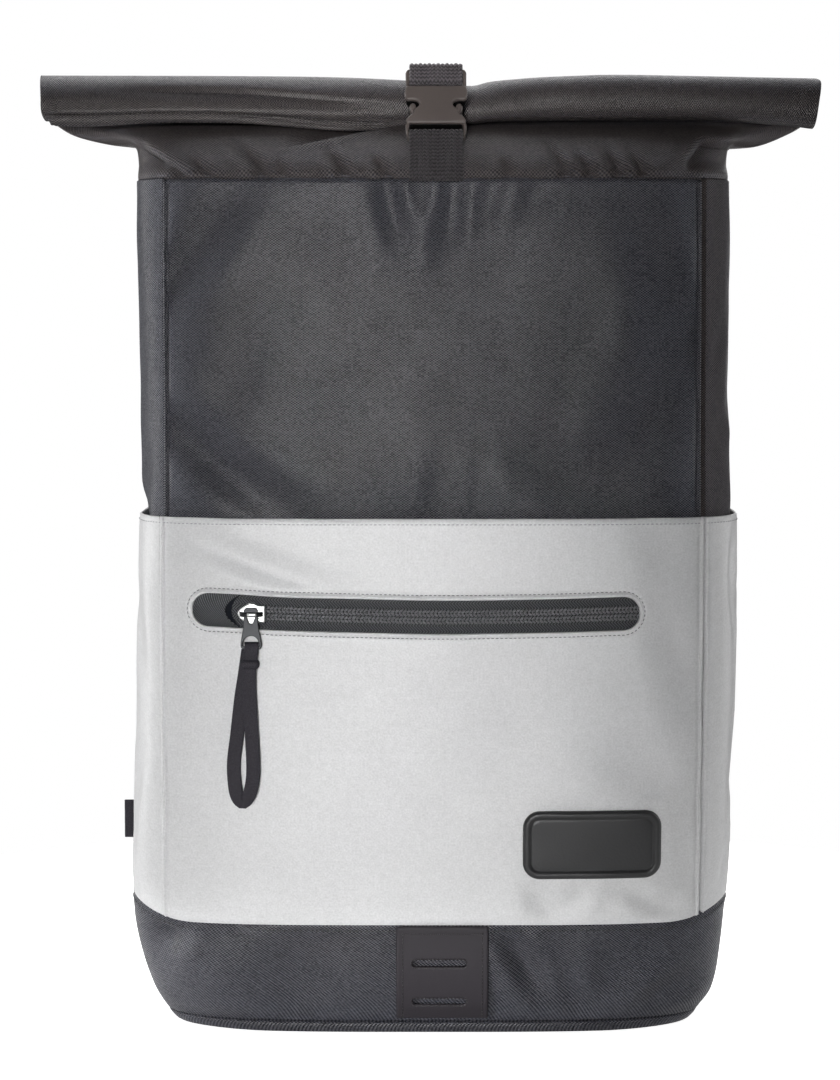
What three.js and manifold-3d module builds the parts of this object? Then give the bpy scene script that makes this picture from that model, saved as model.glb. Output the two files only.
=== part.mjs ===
// Roll-top laptop backpack, standing on its base with the top rolled shut and buckled.
// Millimetres: X to the viewer's right, Y from the front to the wearer's back, Z up from the floor.
import * as THREE from "three";
import { mergeVertices } from "three/addons/utils/BufferGeometryUtils.js";
import Module from "manifold-3d";

const wasm = await Module();
wasm.setup();

// Driving dimensions: heights of the seams that cross the bag
const BASE_SEAM = 55;
const POCKET_TOP = 247;
const TOP_SEAM = 404.5;

// Driving dimensions: the upright seams between front and sides, and the inner face of the padded back
const FRONT_SEAM = { left: -126.3, right: 124.7 };
const POCKET_SEAM = { left: -128.2, right: 125.8 };
const BACK_PLANE = 58;
const BACK_HALF = 138;

// Cloth and webbing
const BODY_CLOTH = 2;
const POCKET_CLOTH = 1.4;
const BASE_CLOTH = 2.4;
const COLLAR_CLOTH = 1.5;
const BACK_PAD = 8;
const STRAP_PAD = 8;
const WEBBING = { width: 25, thick: 1.6 };
const NARROW_WEBBING = { width: 20, thick: 1.6 };

// Clearance between pieces that touch, and along a sewn seam
const GAP = 0.4;
const SEAM_GAP = 1;

// Outline of the black body at each height, as two joined superellipses seen from above.
// The filled bag slumps a little, so each section has a shift to the right.
const BACK_SQUARE = 8;
const SHELL = [
  { z: 56, half: 141.8, shift: -1.8, front: 59.6, back: 66, square: 4 },
  { z: 80, half: 136, shift: -1.4, front: 55.5, back: 66, square: 5.6 },
  { z: 150, half: 133, shift: -0.3, front: 55.5, back: 66, square: 6 },
  { z: 235, half: 138.5, shift: 1.5, front: 61, back: 66, square: 5 },
  { z: 252, half: 140.8, shift: 1.4, front: 63.2, back: 66, square: 4.4 },
  { z: 275, half: 141, shift: 1.2, front: 63.4, back: 66, square: 4 },
  { z: 340, half: 141.5, shift: 0.1, front: 61, back: 66, square: 4 },
  { z: 404.5, half: 141.2, shift: -0.3, front: 56, back: 66, square: 4 },
];

// Outline of the grey pockets that wrap the lower body
const POCKET = [
  { z: 55, half: 144.3, shift: -1.8, front: 62, back: 66, square: 4 },
  { z: 74, half: 144.8, shift: -1.6, front: 64, back: 66, square: 4.3 },
  { z: 120, half: 144.2, shift: 0, front: 67, back: 66, square: 4.5 },
  { z: 200, half: 143.7, shift: 1.7, front: 68, back: 66, square: 4.6 },
  { z: 247, half: 142.9, shift: 2.2, front: 66, back: 66, square: 4.4 },
];

// Outline of the black base band, which rounds in to the floor
const BASE = [
  { z: 6.4, half: 129.2, shift: -0.2, front: 50, back: 60, square: 3.4 },
  { z: 16, half: 136.2, shift: -0.4, front: 56, back: 63, square: 3.4 },
  { z: 34, half: 142.2, shift: -2, front: 60.5, back: 65.4, square: 3.8 },
  { z: 55, half: 144.3, shift: -1.8, front: 62, back: 66, square: 4 },
];
const BASE_COLUMNS = 44;
const FLOOR = { top: 6, inset: 2, square: 3.8, round: 2.2 };

// Dents and folds: place, lean from upright in degrees, reach along and across, and depth inwards
const FRONT_FOLDS = [
  { x: 14, z: 393, lean: 20, along: 18, across: 12, depth: 1.8 },
  { x: -22, z: 396, lean: -30, along: 14, across: 12, depth: 1.4 },
  { x: -104, z: 384, lean: 35, along: 30, across: 13, depth: 1.6 },
  { x: -96, z: 306, lean: 14, along: 44, across: 15, depth: 1.8 },
  { x: 104, z: 352, lean: -18, along: 40, across: 14, depth: 1.6 },
  { x: 60, z: 270, lean: -62, along: 40, across: 13, depth: 1.2 },
];
const POCKET_FOLDS = [
  { x: 96, z: 132, lean: -40, along: 34, across: 13, depth: 1.4 },
  { x: 108, z: 190, lean: -18, along: 30, across: 12, depth: 1.6 },
  { x: -104, z: 150, lean: 12, along: 40, across: 14, depth: 1.2 },
];
// On a side panel the place across is the depth y
const LEFT_FOLDS = [
  { x: 4, z: 240, lean: 0, along: 12, across: 40, depth: 12 },
  { x: -30, z: 330, lean: 10, along: 40, across: 14, depth: 1.4 },
];
const RIGHT_FOLDS = [
  { x: -24, z: 318, lean: -12, along: 46, across: 14, depth: 1.6 },
  { x: 10, z: 262, lean: 0, along: 12, across: 30, depth: 1.2 },
];
const RIGHT_POCKET_FOLDS = [
  { x: -28, z: 196, lean: 10, along: 34, across: 12, depth: 2 },
  { x: -30, z: 120, lean: -12, along: 30, across: 12, depth: 1.8 },
  { x: 12, z: 160, lean: 6, along: 46, across: 14, depth: 2 },
];

// The rolled top: both cloth layers wind together round a line along X
const ROLL_Y = -14;
const ROLL_DEEP = 9.6;
const ROLL_PITCH = 3.4;
const ROLL_CLOTH = 3;
const ROLL_TURN = { from: -30, to: 560, steps: 34 };
const ROLL = [
  { x: -186.6, top: 455.2, tall: 10.5 },
  { x: -60, top: 454.6, tall: 10.2 },
  { x: -16, top: 453, tall: 9.4 },
  { x: 18, top: 452.2, tall: 9 },
  { x: 60, top: 454.4, tall: 10.1 },
  { x: 183.3, top: 453.6, tall: 9.8 },
];

// The collar between the top seam and the roll: share of the way to the roll line and of the rise,
// in the middle of the front, at the sides (where it hangs out as an ear) and in the middle of the back
const ROOT = { y: -4.5, z: 434 };
const COLLAR_INSET = 1.2;
const COLLAR_PATH = [
  { midLean: 0, midRise: 0, sideLean: 0, sideRise: 0, backLean: 0, backRise: 0 },
  { midLean: 0.12, midRise: 0.3, sideLean: -0.02, sideRise: 0.26, backLean: 0.1, backRise: 0.3 },
  { midLean: 0.3, midRise: 0.55, sideLean: -0.05, sideRise: 0.5, backLean: 0.3, backRise: 0.55 },
  { midLean: 0.52, midRise: 0.73, sideLean: 0, sideRise: 0.63, backLean: 0.53, backRise: 0.74 },
  { midLean: 0.72, midRise: 0.83, sideLean: 0.42, sideRise: 0.71, backLean: 0.74, backRise: 0.86 },
  { midLean: 0.88, midRise: 0.88, sideLean: 0.74, sideRise: 0.82, backLean: 0.9, backRise: 0.93 },
  { midLean: 1, midRise: 1, sideLean: 1, sideRise: 1, backLean: 1, backRise: 1 },
];
const COLLAR_FOLDS = [
  { x: -96, z: 410, lean: 52, along: 20, across: 9, depth: 2.4 },
  { x: -44, z: 412, lean: 20, along: 14, across: 12, depth: 1.6 },
  { x: 52, z: 412, lean: -24, along: 14, across: 12, depth: 1.8 },
  { x: 100, z: 411, lean: -52, along: 20, across: 9, depth: 2.6 },
];

// Front zip: the window in the grey cloth, the tape behind it and the coil
const ZIP = { left: -111.5, right: 95.9, z: 202.5, high: 14 };
const ZIP_TAPE = { margin: 8, reach: 20, thick: 0.8 };
const ZIP_COIL = { high: 6.5, from: -1.3, to: -0.2 };
const SLIDER = { x: -84.5, long: 13, high: 10.4, thick: 2.2, lift: 0.2 };
const BAIL = { wide: 4, high: 7, rise: 3.4, bar: 1.3 };
const TAB = { top: 0.9, bottom: -16.6, thick: 1.2, out: 2.8, topHalf: 3.6, bottomHalf: 5.1 };
const TAB_EYE = { half: 2.7, top: -0.8, bottom: -5.2 };
const TAB_SLOT = { half: 4.1, top: -10.4, bottom: -14.8 };

// Ribbon loop on the pull tab: place from the slider, and turn of its width from X towards Z
const LOOP_RIBBON = { width: 6.8, thick: 0.8 };
const PULL_LOOP = [
  { x: 0, out: 4.9, z: -14.6, turn: 0 },
  { x: 0, out: 5.1, z: -24, turn: 0 },
  { x: 0.2, out: 6.2, z: -45, turn: 0 },
  { x: 0.4, out: 7.6, z: -66, turn: 0 },
  { x: -0.6, out: 7.8, z: -80, turn: 4 },
  { x: -3.4, out: 6.6, z: -88, turn: 26 },
  { x: -5.6, out: 4.4, z: -90, turn: 34 },
  { x: -7.4, out: 2.6, z: -87.6, turn: 26 },
  { x: -8.8, out: 2, z: -80, turn: 4 },
  { x: -8.6, out: 2, z: -61, turn: -4 },
  { x: -6, out: 1.9, z: -38, turn: -6 },
  { x: -2, out: 1.9, z: -23, turn: -4 },
  { x: 0, out: 1.9, z: -14.6, turn: 0 },
  { x: 0, out: 3.4, z: -13.2, turn: 0 },
];

// Bare badge on the grey front, lash patch on the base and plain tag on the left side
const BADGE = { x: 74.2, z: 94.2, half: 32.6, high: 16.4, corner: 8, rim: 2.6, field: 1.5 };
const BADGE_INSETS = [0, 1.2, 3.4, 4.6];
const PATCH = { left: -17.3, right: 25.3, bottom: 8.4, top: 54.6, thick: 1.4 };
const LASH_SLOT = { x: 2.6, long: 26, high: 3.8, heights: [17.5, 37] };
const TAG = { y: 8, bottom: 83.7, top: 102.2, out: 5.8, thick: 1.8 };

// Side-release buckle, leaning back against the roll: its own Y runs up its length, its Z outwards
const BUCKLE = { x: 1, y: -35.2, z: 441, lean: 28 };
const SOCKET = { top: 8.5, waist: 9.8, frameTop: -11, frameBottom: -18.2, half: 14.7, thick: 7 };
const SOCKET_FRAME = { thick: 4, slotHalf: 13, slotTop: -11.2, slotBottom: -15.2 };
const PLUG = { bottom: 8.9, top: 17.6, half: 14.3, thick: 3.2 };
const PLUG_SLOT = { half: 12.9, bottom: 10.9, top: 14.3 };
const PRONG = { inner: 10.1, outer: 13.5, tip: -3.6 };

// Carrying straps behind the bag, for the right side; the left is its mirror image
const SHOULDER = [
  { x: 63, y: 70.5, z: 398 },
  { x: 63, y: 70.6, z: 384 },
  { x: 64, y: 80, z: 362 },
  { x: 66, y: 95, z: 328 },
  { x: 69, y: 101, z: 284 },
  { x: 73, y: 97, z: 240 },
  { x: 76, y: 89, z: 204 },
];
const SHOULDER_WIDTH = 60;
const STRAP_TAIL = [
  { x: 77, y: 86.4, z: 189.6 },
  { x: 83, y: 78.5, z: 150 },
  { x: 91, y: 71, z: 96 },
  { x: 97, y: 67.4, z: 62 },
];
const ADJUSTER = { x: 76.6, y: 87.2, z: 195, half: 15, high: 6.4, thick: 6 };
const HAUL_LOOP = [
  { y: 67.4, z: 368 },
  { y: 67.4, z: 390 },
  { y: 69.2, z: 406 },
  { y: 74, z: 418 },
  { y: 81, z: 421.6 },
  { y: 87.4, z: 417 },
  { y: 88, z: 407 },
  { y: 82, z: 397 },
  { y: 73, z: 388 },
  { y: 69.6, z: 378 },
  { y: 69.6, z: 368 },
];

// Colours and finishes
const FINISH = {
  black: { color: 0x4c4b51, roughness: 0.85, metalness: 0 },
  grey: { color: 0xcfcfd1, roughness: 0.5, metalness: 0.05 },
  base: { color: 0x484850, roughness: 0.8, metalness: 0 },
  mesh: { color: 0x3b3b3f, roughness: 0.95, metalness: 0 },
  webbing: { color: 0x403d40, roughness: 0.9, metalness: 0 },
  plastic: { color: 0x4b4644, roughness: 0.45, metalness: 0 },
  tape: { color: 0x45464a, roughness: 0.8, metalness: 0 },
  silver: { color: 0xd4d4d2, roughness: 0.3, metalness: 1 },
  gunmetal: { color: 0x55565a, roughness: 0.35, metalness: 1 },
  leather: { color: 0x424145, roughness: 0.6, metalness: 0 },
};

const { lerp, smoothstep, clamp, degToRad } = THREE.MathUtils;
const vector = (x, y, z) => new THREE.Vector3(x, y, z);
const steps = (from, to, count) => Array.from({ length: count + 1 }, (_, i) => lerp(from, to, i / count));

// One column of a table at height z, on a smooth curve through the rows
function columnAt(rows, key, z) {
  const last = rows.length - 1;
  const i = clamp(rows.findLastIndex((row) => row.z <= z), 0, last - 1);
  const slopeAt = (k) => {
    const before = rows[Math.max(k - 1, 0)];
    const after = rows[Math.min(k + 1, last)];
    return (after[key] - before[key]) / (after.z - before.z);
  };
  const span = rows[i + 1].z - rows[i].z;
  const t = clamp((z - rows[i].z) / span, 0, 1);
  const start = rows[i][key] * (1 + 2 * t) + slopeAt(i) * span * t;
  const end = rows[i + 1][key] * (3 - 2 * t) - slopeAt(i + 1) * span * (1 - t);
  return start * (1 - t) ** 2 + end * t ** 2;
}

function sectionAt(rows, z) {
  const section = {};
  for (const key of ["half", "shift", "front", "back", "square"]) {
    section[key] = columnAt(rows, key, z);
  }
  return section;
}

// Depth of the front at x, and place of a side at depth y, on one section.
// A side is -1 on the left and 1 on the right.
function frontY(section, x) {
  const reach = Math.abs(x - section.shift) / section.half;
  return -section.front * (1 - reach ** section.square) ** (1 / section.square);
}

function sideX(section, side, y) {
  const depth = y < 0 ? section.front : section.back;
  const square = y < 0 ? section.square : BACK_SQUARE;
  return section.shift + side * section.half * (1 - (Math.abs(y) / depth) ** square) ** (1 / square);
}

// Half of a section's outline in even steps: from left to right in front, or right to left behind
function halfOutline(section, isFront, count) {
  const square = isFront ? section.square : BACK_SQUARE;
  const depth = isFront ? section.front : section.back;
  const start = isFront ? Math.PI : 0;
  const power = (value) => Math.sign(value) * Math.abs(value) ** (2 / square);
  const fine = steps(start, start + Math.PI, 400).map((angle) =>
    vector(section.shift + section.half * power(Math.cos(angle)), depth * power(Math.sin(angle)), 0),
  );
  const curve = new THREE.CurvePath();
  for (let i = 0; i + 1 < fine.length; i++) {
    curve.add(new THREE.LineCurve3(fine[i], fine[i + 1]));
  }
  return steps(0, 1, count).map((share) => curve.getPoint(share));
}

function ringOutline(section, count) {
  const front = halfOutline(section, true, count / 2).slice(0, -1);
  const back = halfOutline(section, false, count / 2).slice(0, -1);
  return [...front, ...back];
}

// Total depth of a table of folds at a place
function foldDepth(folds, x, z) {
  let depth = 0;
  for (const fold of folds) {
    const lean = degToRad(fold.lean);
    const along = (x - fold.x) * Math.sin(lean) + (z - fold.z) * Math.cos(lean);
    const across = (x - fold.x) * Math.cos(lean) - (z - fold.z) * Math.sin(lean);
    depth += fold.depth * Math.exp(-((along / fold.along) ** 2) - (across / fold.across) ** 2);
  }
  return depth;
}

function meshGeometry(points, index) {
  const geometry = new THREE.BufferGeometry();
  geometry.setAttribute("position", new THREE.Float32BufferAttribute(points.flatMap((p) => p.toArray()), 3));
  geometry.setIndex(index);
  geometry.computeVertexNormals();
  return geometry;
}

// Cloth wall on a grid of points, rows going up and columns going right as seen from outside.
// It fills the space between two offsets along the outward normal; a ring joins its ends.
function wall(grid, low, high, isRing = false) {
  const rows = grid.length;
  const cols = grid[0].length;
  const column = (c) => (isRing ? (c + cols) % cols : clamp(c, 0, cols - 1));
  const at = (r, c) => grid[clamp(r, 0, rows - 1)][column(c)];
  const points = [];
  for (const offset of [low, high]) {
    for (let r = 0; r < rows; r++) {
      for (let c = 0; c < cols; c++) {
        const right = at(r, c + 1).clone().sub(at(r, c - 1));
        const up = at(r + 1, c).clone().sub(at(r - 1, c));
        const reach = typeof offset === "function" ? offset(r, c) : offset;
        points.push(at(r, c).clone().addScaledVector(right.cross(up).normalize(), reach));
      }
    }
  }
  const inner = (r, c) => r * cols + column(c);
  const outer = (r, c) => rows * cols + inner(r, c);
  const index = [];
  const quad = (a, b, c, d) => index.push(a, b, c, a, c, d);
  const lastCol = isRing ? cols : cols - 1;
  for (let r = 0; r + 1 < rows; r++) {
    for (let c = 0; c < lastCol; c++) {
      quad(outer(r, c), outer(r, c + 1), outer(r + 1, c + 1), outer(r + 1, c));
      quad(inner(r, c), inner(r + 1, c), inner(r + 1, c + 1), inner(r, c + 1));
    }
  }
  for (let c = 0; c < lastCol; c++) {
    quad(outer(0, c), inner(0, c), inner(0, c + 1), outer(0, c + 1));
    quad(outer(rows - 1, c + 1), inner(rows - 1, c + 1), inner(rows - 1, c), outer(rows - 1, c));
  }
  for (let r = 0; r + 1 < rows && !isRing; r++) {
    quad(outer(r + 1, 0), inner(r + 1, 0), inner(r, 0), outer(r, 0));
    quad(outer(r, cols - 1), inner(r, cols - 1), inner(r + 1, cols - 1), outer(r + 1, cols - 1));
  }
  return meshGeometry(points, index);
}

// Solid through a row of loops with equal numbers of points; flat ends are closed
function loft(loops, plane, isClosed = false) {
  const count = loops[0].length;
  const points = loops.flat();
  const index = [];
  const last = isClosed ? loops.length : loops.length - 1;
  for (let i = 0; i < last; i++) {
    for (let k = 0; k < count; k++) {
      const a = i * count + k;
      const b = i * count + ((k + 1) % count);
      const c = ((i + 1) % loops.length) * count + ((k + 1) % count);
      const d = ((i + 1) % loops.length) * count + k;
      index.push(a, b, c, a, c, d);
    }
  }
  const cap = isClosed ? [] : THREE.ShapeUtils.triangulateShape(plane, []);
  const end = (loops.length - 1) * count;
  for (const [a, b, c] of cap) {
    index.push(c, b, a);
    index.push(end + a, end + b, end + c);
  }
  let volume = 0;
  for (let i = 0; i < index.length; i += 3) {
    const [a, b, c] = [points[index[i]], points[index[i + 1]], points[index[i + 2]]];
    volume += a.dot(b.clone().cross(c));
  }
  return meshGeometry(points, volume < 0 ? index.reverse() : index);
}

// Flat band along a path of places and directions across it; a bevel rounds a padded band
function band(path, width, thick, { bevel = 0, isClosed = false } = {}) {
  const [w, t] = [width / 2, thick / 2];
  const square = [vector(-w, -t), vector(w, -t), vector(w, t), vector(-w, t)];
  const cut = [
    vector(-w + bevel, -t), vector(w - bevel, -t), vector(w, -t + bevel), vector(w, t - bevel),
    vector(w - bevel, t), vector(-w + bevel, t), vector(-w, t - bevel), vector(-w, -t + bevel),
  ];
  const section = bevel > 0 ? cut : square;
  const step = (i) => (isClosed ? (i + path.length) % path.length : clamp(i, 0, path.length - 1));
  const loops = path.map((place, i) => {
    const tangent = path[step(i + 1)].at.clone().sub(path[step(i - 1)].at).normalize();
    const normal = tangent.clone().cross(place.across).normalize();
    const across = normal.clone().cross(tangent);
    return section.map((p) => place.at.clone().addScaledVector(across, p.x).addScaledVector(normal, p.y));
  });
  return loft(loops, section, isClosed);
}

function solid(geometry) {
  const bare = geometry.clone();
  bare.deleteAttribute("normal");
  bare.deleteAttribute("uv");
  const merged = mergeVertices(bare, 1e-4);
  const vertProperties = new Float32Array(merged.attributes.position.array);
  const triVerts = new Uint32Array(merged.index.array);
  return new wasm.Manifold(new wasm.Mesh({ numProp: 3, vertProperties, triVerts }));
}

function solidGeometry(manifold) {
  const mesh = manifold.getMesh();
  const geometry = new THREE.BufferGeometry();
  geometry.setAttribute("position", new THREE.BufferAttribute(new Float32Array(mesh.vertProperties), 3));
  geometry.setIndex(Array.from(mesh.triVerts));
  geometry.computeVertexNormals();
  return geometry;
}

function cut(geometry, ...cutters) {
  return solidGeometry(cutters.reduce((left, cutter) => left.subtract(solid(cutter)), solid(geometry)));
}

function join(...geometries) {
  return solidGeometry(geometries.map(solid).reduce((whole, next) => whole.add(next)));
}

// Upright slab: a shape drawn in X and Z, from one depth towards the front
function slab(shape, y, depth, curveSegments = 6) {
  const geometry = new THREE.ExtrudeGeometry(shape, { depth, bevelEnabled: false, curveSegments });
  return geometry.rotateX(Math.PI / 2).translate(0, y, 0);
}

function polygon(corners) {
  return new THREE.Shape(corners.map(([x, y]) => new THREE.Vector2(x, y)));
}

function stadium(x, z, long, high) {
  const radius = high / 2;
  const reach = long / 2 - radius;
  const shape = new THREE.Shape();
  shape.absarc(x + reach, z, radius, -Math.PI / 2, Math.PI / 2, false);
  shape.absarc(x - reach, z, radius, Math.PI / 2, (Math.PI * 3) / 2, false);
  return shape;
}

const bag = new THREE.Group();

function add(name, geometry, finish, parent = bag) {
  const mesh = new THREE.Mesh(geometry, new THREE.MeshStandardMaterial(FINISH[finish]));
  mesh.name = name;
  parent.add(mesh);
}

// Points of a front cloth on one table of sections, with its folds pressed in
function frontGrid(table, folds, xs, zs) {
  return zs.map((z) => {
    const section = sectionAt(table, z);
    return xs.map((x) => vector(x, frontY(section, x) + foldDepth(folds, x, z), z));
  });
}

// Points of a side cloth from the front seam to the back
function sideGrid(table, folds, side, seam, zs) {
  const shares = steps(0, 1, 7).map((share) => share ** 1.5);
  const order = side > 0 ? shares : shares.toReversed();
  return zs.map((z) => {
    const section = sectionAt(table, z);
    const start = frontY(section, side > 0 ? seam.right : seam.left) + SEAM_GAP;
    return order.map((share) => {
      const y = lerp(start, BACK_PLANE - GAP, share);
      const ease = smoothstep(share, 0, 0.2);
      return vector(sideX(section, side, y) - side * foldDepth(folds, y, z) * ease, y, z);
    });
  });
}

// Body panels
const bodyHeights = [...steps(56, 235, 8), ...steps(247, TOP_SEAM, 10)];
const frontColumns = steps(FRONT_SEAM.left, FRONT_SEAM.right, 15);
add("front_panel", wall(frontGrid(SHELL, FRONT_FOLDS, frontColumns, bodyHeights), -BODY_CLOTH, 0), "black");
for (const [name, side, folds] of [["gusset_left", -1, LEFT_FOLDS], ["gusset_right", 1, RIGHT_FOLDS]]) {
  add(name, wall(sideGrid(SHELL, folds, side, FRONT_SEAM, bodyHeights), -BODY_CLOTH, 0), "black");
}

// Padded back panel with rounded edges
function backPanel() {
  const round = 2;
  const corner = 14;
  const [low, high, half] = [BASE_SEAM + 1 + round, TOP_SEAM - round, BACK_HALF - round];
  const shape = new THREE.Shape();
  shape.absarc(half - corner, low + corner, corner, -Math.PI / 2, 0, false);
  shape.absarc(half - corner, high - corner, corner, 0, Math.PI / 2, false);
  shape.absarc(corner - half, high - corner, corner, Math.PI / 2, Math.PI, false);
  shape.absarc(corner - half, low + corner, corner, Math.PI, (Math.PI * 3) / 2, false);
  const options = { depth: BACK_PAD - 2 * round, bevelSize: round, bevelThickness: round, bevelSegments: 2 };
  const geometry = new THREE.ExtrudeGeometry(shape, { ...options, curveSegments: 4 });
  return geometry.rotateX(Math.PI / 2).translate(0, BACK_PLANE + BACK_PAD - round, 0);
}
add("back_panel", backPanel(), "mesh");

// Base: a band all round and a stiff floor that it stands on
const baseRings = [6.4, 10, 16, 25, 34, 45, BASE_SEAM].map((z) =>
  ringOutline(sectionAt(BASE, z), BASE_COLUMNS).map((p) => p.setZ(z)),
);
add("base_band", wall(baseRings, -BASE_CLOTH, 0, true), "base");

function baseFloor() {
  const { top, inset, square, round } = FLOOR;
  const rim = sectionAt(BASE, BASE[0].z);
  const section = { ...rim, half: rim.half - inset, front: rim.front - inset / 2, square };
  const outline = ringOutline(section, BASE_COLUMNS).map((p) => new THREE.Vector2(p.x, p.y));
  const options = { depth: top - 2 * round, bevelSize: round, bevelThickness: round, bevelSegments: 2 };
  const geometry = new THREE.ExtrudeGeometry(new THREE.Shape(outline), { ...options, bevelOffset: -round });
  return geometry.translate(0, 0, round);
}
add("base_floor", baseFloor(), "base");

// Grey pockets: the zipped front and an open slip pocket on each side
const pocketHeights = steps(BASE_SEAM + GAP, POCKET_TOP, 12);
const pocketColumns = [POCKET_SEAM.left, ...steps(-117, 117, 12), POCKET_SEAM.right];
const pocketGrid = frontGrid(POCKET, POCKET_FOLDS, pocketColumns, pocketHeights);
const zipLong = ZIP.right - ZIP.left;
const zipMiddle = (ZIP.left + ZIP.right) / 2;
const zipWindow = slab(stadium(zipMiddle, ZIP.z, zipLong, ZIP.high), -40, 50);
add("pocket_front", cut(wall(pocketGrid, -POCKET_CLOTH, 0), zipWindow), "grey");
for (const [edge, side, folds] of [["left", -1, []], ["right", 1, RIGHT_POCKET_FOLDS]]) {
  const grid = sideGrid(POCKET, folds, side, POCKET_SEAM, pocketHeights);
  add(`pocket_side_${edge}`, wall(grid, -POCKET_CLOTH, 0), "grey");
}

// Front zip: tape behind the window and the closed coil in it
const onTape = (x) => x > ZIP.left - ZIP_TAPE.margin && x < ZIP.right + ZIP_TAPE.margin;
const tapeColumns = pocketColumns.filter(onTape);
const tapeHeights = pocketHeights.filter((z) => Math.abs(z - ZIP.z) < ZIP_TAPE.reach);
const tapeGrid = frontGrid(POCKET, POCKET_FOLDS, tapeColumns, tapeHeights);
const tapeFront = -POCKET_CLOTH - GAP;
add("zip_tape", wall(tapeGrid, tapeFront - ZIP_TAPE.thick, tapeFront), "tape");
const coilColumns = [...tapeColumns.slice(1, -1), ZIP.right - 1];
const coilHeights = [ZIP.z - ZIP_COIL.high / 2, ZIP.z + ZIP_COIL.high / 2];
const coilGrid = frontGrid(POCKET, POCKET_FOLDS, coilColumns, coilHeights);
add("zip_coil", wall(coilGrid, ZIP_COIL.from, ZIP_COIL.to), "tape");

// Slider with its bail, the pull tab hung on the bail, and the ribbon loop through the tab
const zipGroup = new THREE.Group();
const zipSection = sectionAt(POCKET, ZIP.z);
const sliderEnds = [-1, 1].map((end) => frontY(zipSection, SLIDER.x + (end * SLIDER.long) / 2));
zipGroup.position.set(SLIDER.x, (sliderEnds[0] + sliderEnds[1]) / 2, ZIP.z);
zipGroup.rotation.z = Math.atan2(sliderEnds[1] - sliderEnds[0], SLIDER.long);
bag.add(zipGroup);

function slider() {
  const [x, z] = [SLIDER.long / 2, SLIDER.high / 2];
  const outline = polygon([
    [-x, -z * 0.4], [-x * 0.6, -z], [x * 0.55, -z], [x * 0.6, -z * 0.75], [x, -z * 0.75],
    [x, z * 0.75], [x * 0.6, z * 0.75], [x * 0.55, z], [-x * 0.6, z], [-x, z * 0.4],
  ]);
  const [h, rise, bar] = [BAIL.high / 2, BAIL.rise, BAIL.bar];
  const arch = polygon([[-h, 0], [-h, rise], [h, rise], [h, 0], [h - bar, 0], [h - bar, rise - bar],
    [bar - h, rise - bar], [bar - h, 0]]);
  const bail = new THREE.ExtrudeGeometry(arch, { depth: BAIL.wide, bevelEnabled: false });
  bail.translate(0, 0, -BAIL.wide / 2);
  bail.applyMatrix4(new THREE.Matrix4().makeBasis(vector(0, 0, 1), vector(0, -1, 0), vector(1, 0, 0)));
  bail.translate(0, -SLIDER.lift - SLIDER.thick + 0.2, 0);
  return join(slab(outline, -SLIDER.lift, SLIDER.thick), bail);
}
add("zip_slider", slider(), "silver", zipGroup);

function pullTab() {
  const neck = TAB_EYE.bottom - 0.8;
  const foot = TAB_SLOT.bottom + 0.6;
  const shape = polygon([
    [-TAB.topHalf, TAB.top], [-TAB.topHalf, neck], [-TAB.bottomHalf, foot],
    [1.2 - TAB.bottomHalf, TAB.bottom], [TAB.bottomHalf - 1.2, TAB.bottom],
    [TAB.bottomHalf, foot], [TAB.topHalf, neck], [TAB.topHalf, TAB.top],
  ]);
  const eye = new THREE.Path();
  eye.moveTo(-TAB_EYE.half, TAB_EYE.top);
  eye.lineTo(TAB_EYE.half, TAB_EYE.top);
  eye.lineTo(TAB_EYE.half, TAB_EYE.bottom);
  eye.lineTo(-TAB_EYE.half, TAB_EYE.bottom);
  const slot = new THREE.Path();
  const squash = TAB_SLOT.top - TAB_SLOT.bottom;
  slot.absellipse(0, TAB_SLOT.bottom, TAB_SLOT.half, squash, 0, Math.PI, false, 0);
  shape.holes.push(eye, slot);
  return slab(shape, -TAB.out, TAB.thick, 5);
}
add("zip_pull", pullTab(), "gunmetal", zipGroup);

const loopPath = PULL_LOOP.map((row) => ({
  at: vector(row.x, -row.out, row.z),
  across: vector(Math.cos(degToRad(row.turn)), 0, Math.sin(degToRad(row.turn))),
}));
const loopBand = band(loopPath, LOOP_RIBBON.width, LOOP_RIBBON.thick, { isClosed: true });
add("pull_loop", loopBand, "webbing", zipGroup);

// Badge with a raised rim, bent with the front
function badge() {
  const half = BADGE.half;
  const rimColumns = BADGE_INSETS.map((inset) => half - inset);
  const columns = [...rimColumns.map((x) => -x), ...steps(-20, 20, 4), ...rimColumns.toReversed()];
  const rimRows = BADGE_INSETS.map((inset) => BADGE.high - inset);
  const rows = [...rimRows.map((z) => -z), 0, ...rimRows.toReversed()];
  const shrink = (x) => {
    const past = Math.max(Math.abs(x) - (half - BADGE.corner), 0);
    return BADGE.corner - Math.sqrt(BADGE.corner ** 2 - past ** 2);
  };
  const grid = rows.map((row) =>
    columns.map((x) => {
      const z = BADGE.z + row * (1 - (shrink(x) * 0.8) / BADGE.high);
      return vector(BADGE.x + x, frontY(sectionAt(POCKET, z), BADGE.x + x), z);
    }),
  );
  const height = (r, c) => {
    const inset = Math.min(half - Math.abs(columns[c]), BADGE.high - Math.abs(rows[r]));
    const onRim = smoothstep(inset, -0.6, 1.2) * (1 - smoothstep(inset, 3.2, 4.4));
    return lerp(BADGE.field, BADGE.rim, onRim);
  };
  return wall(grid, GAP, height);
}
add("badge", badge(), "leather");

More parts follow.
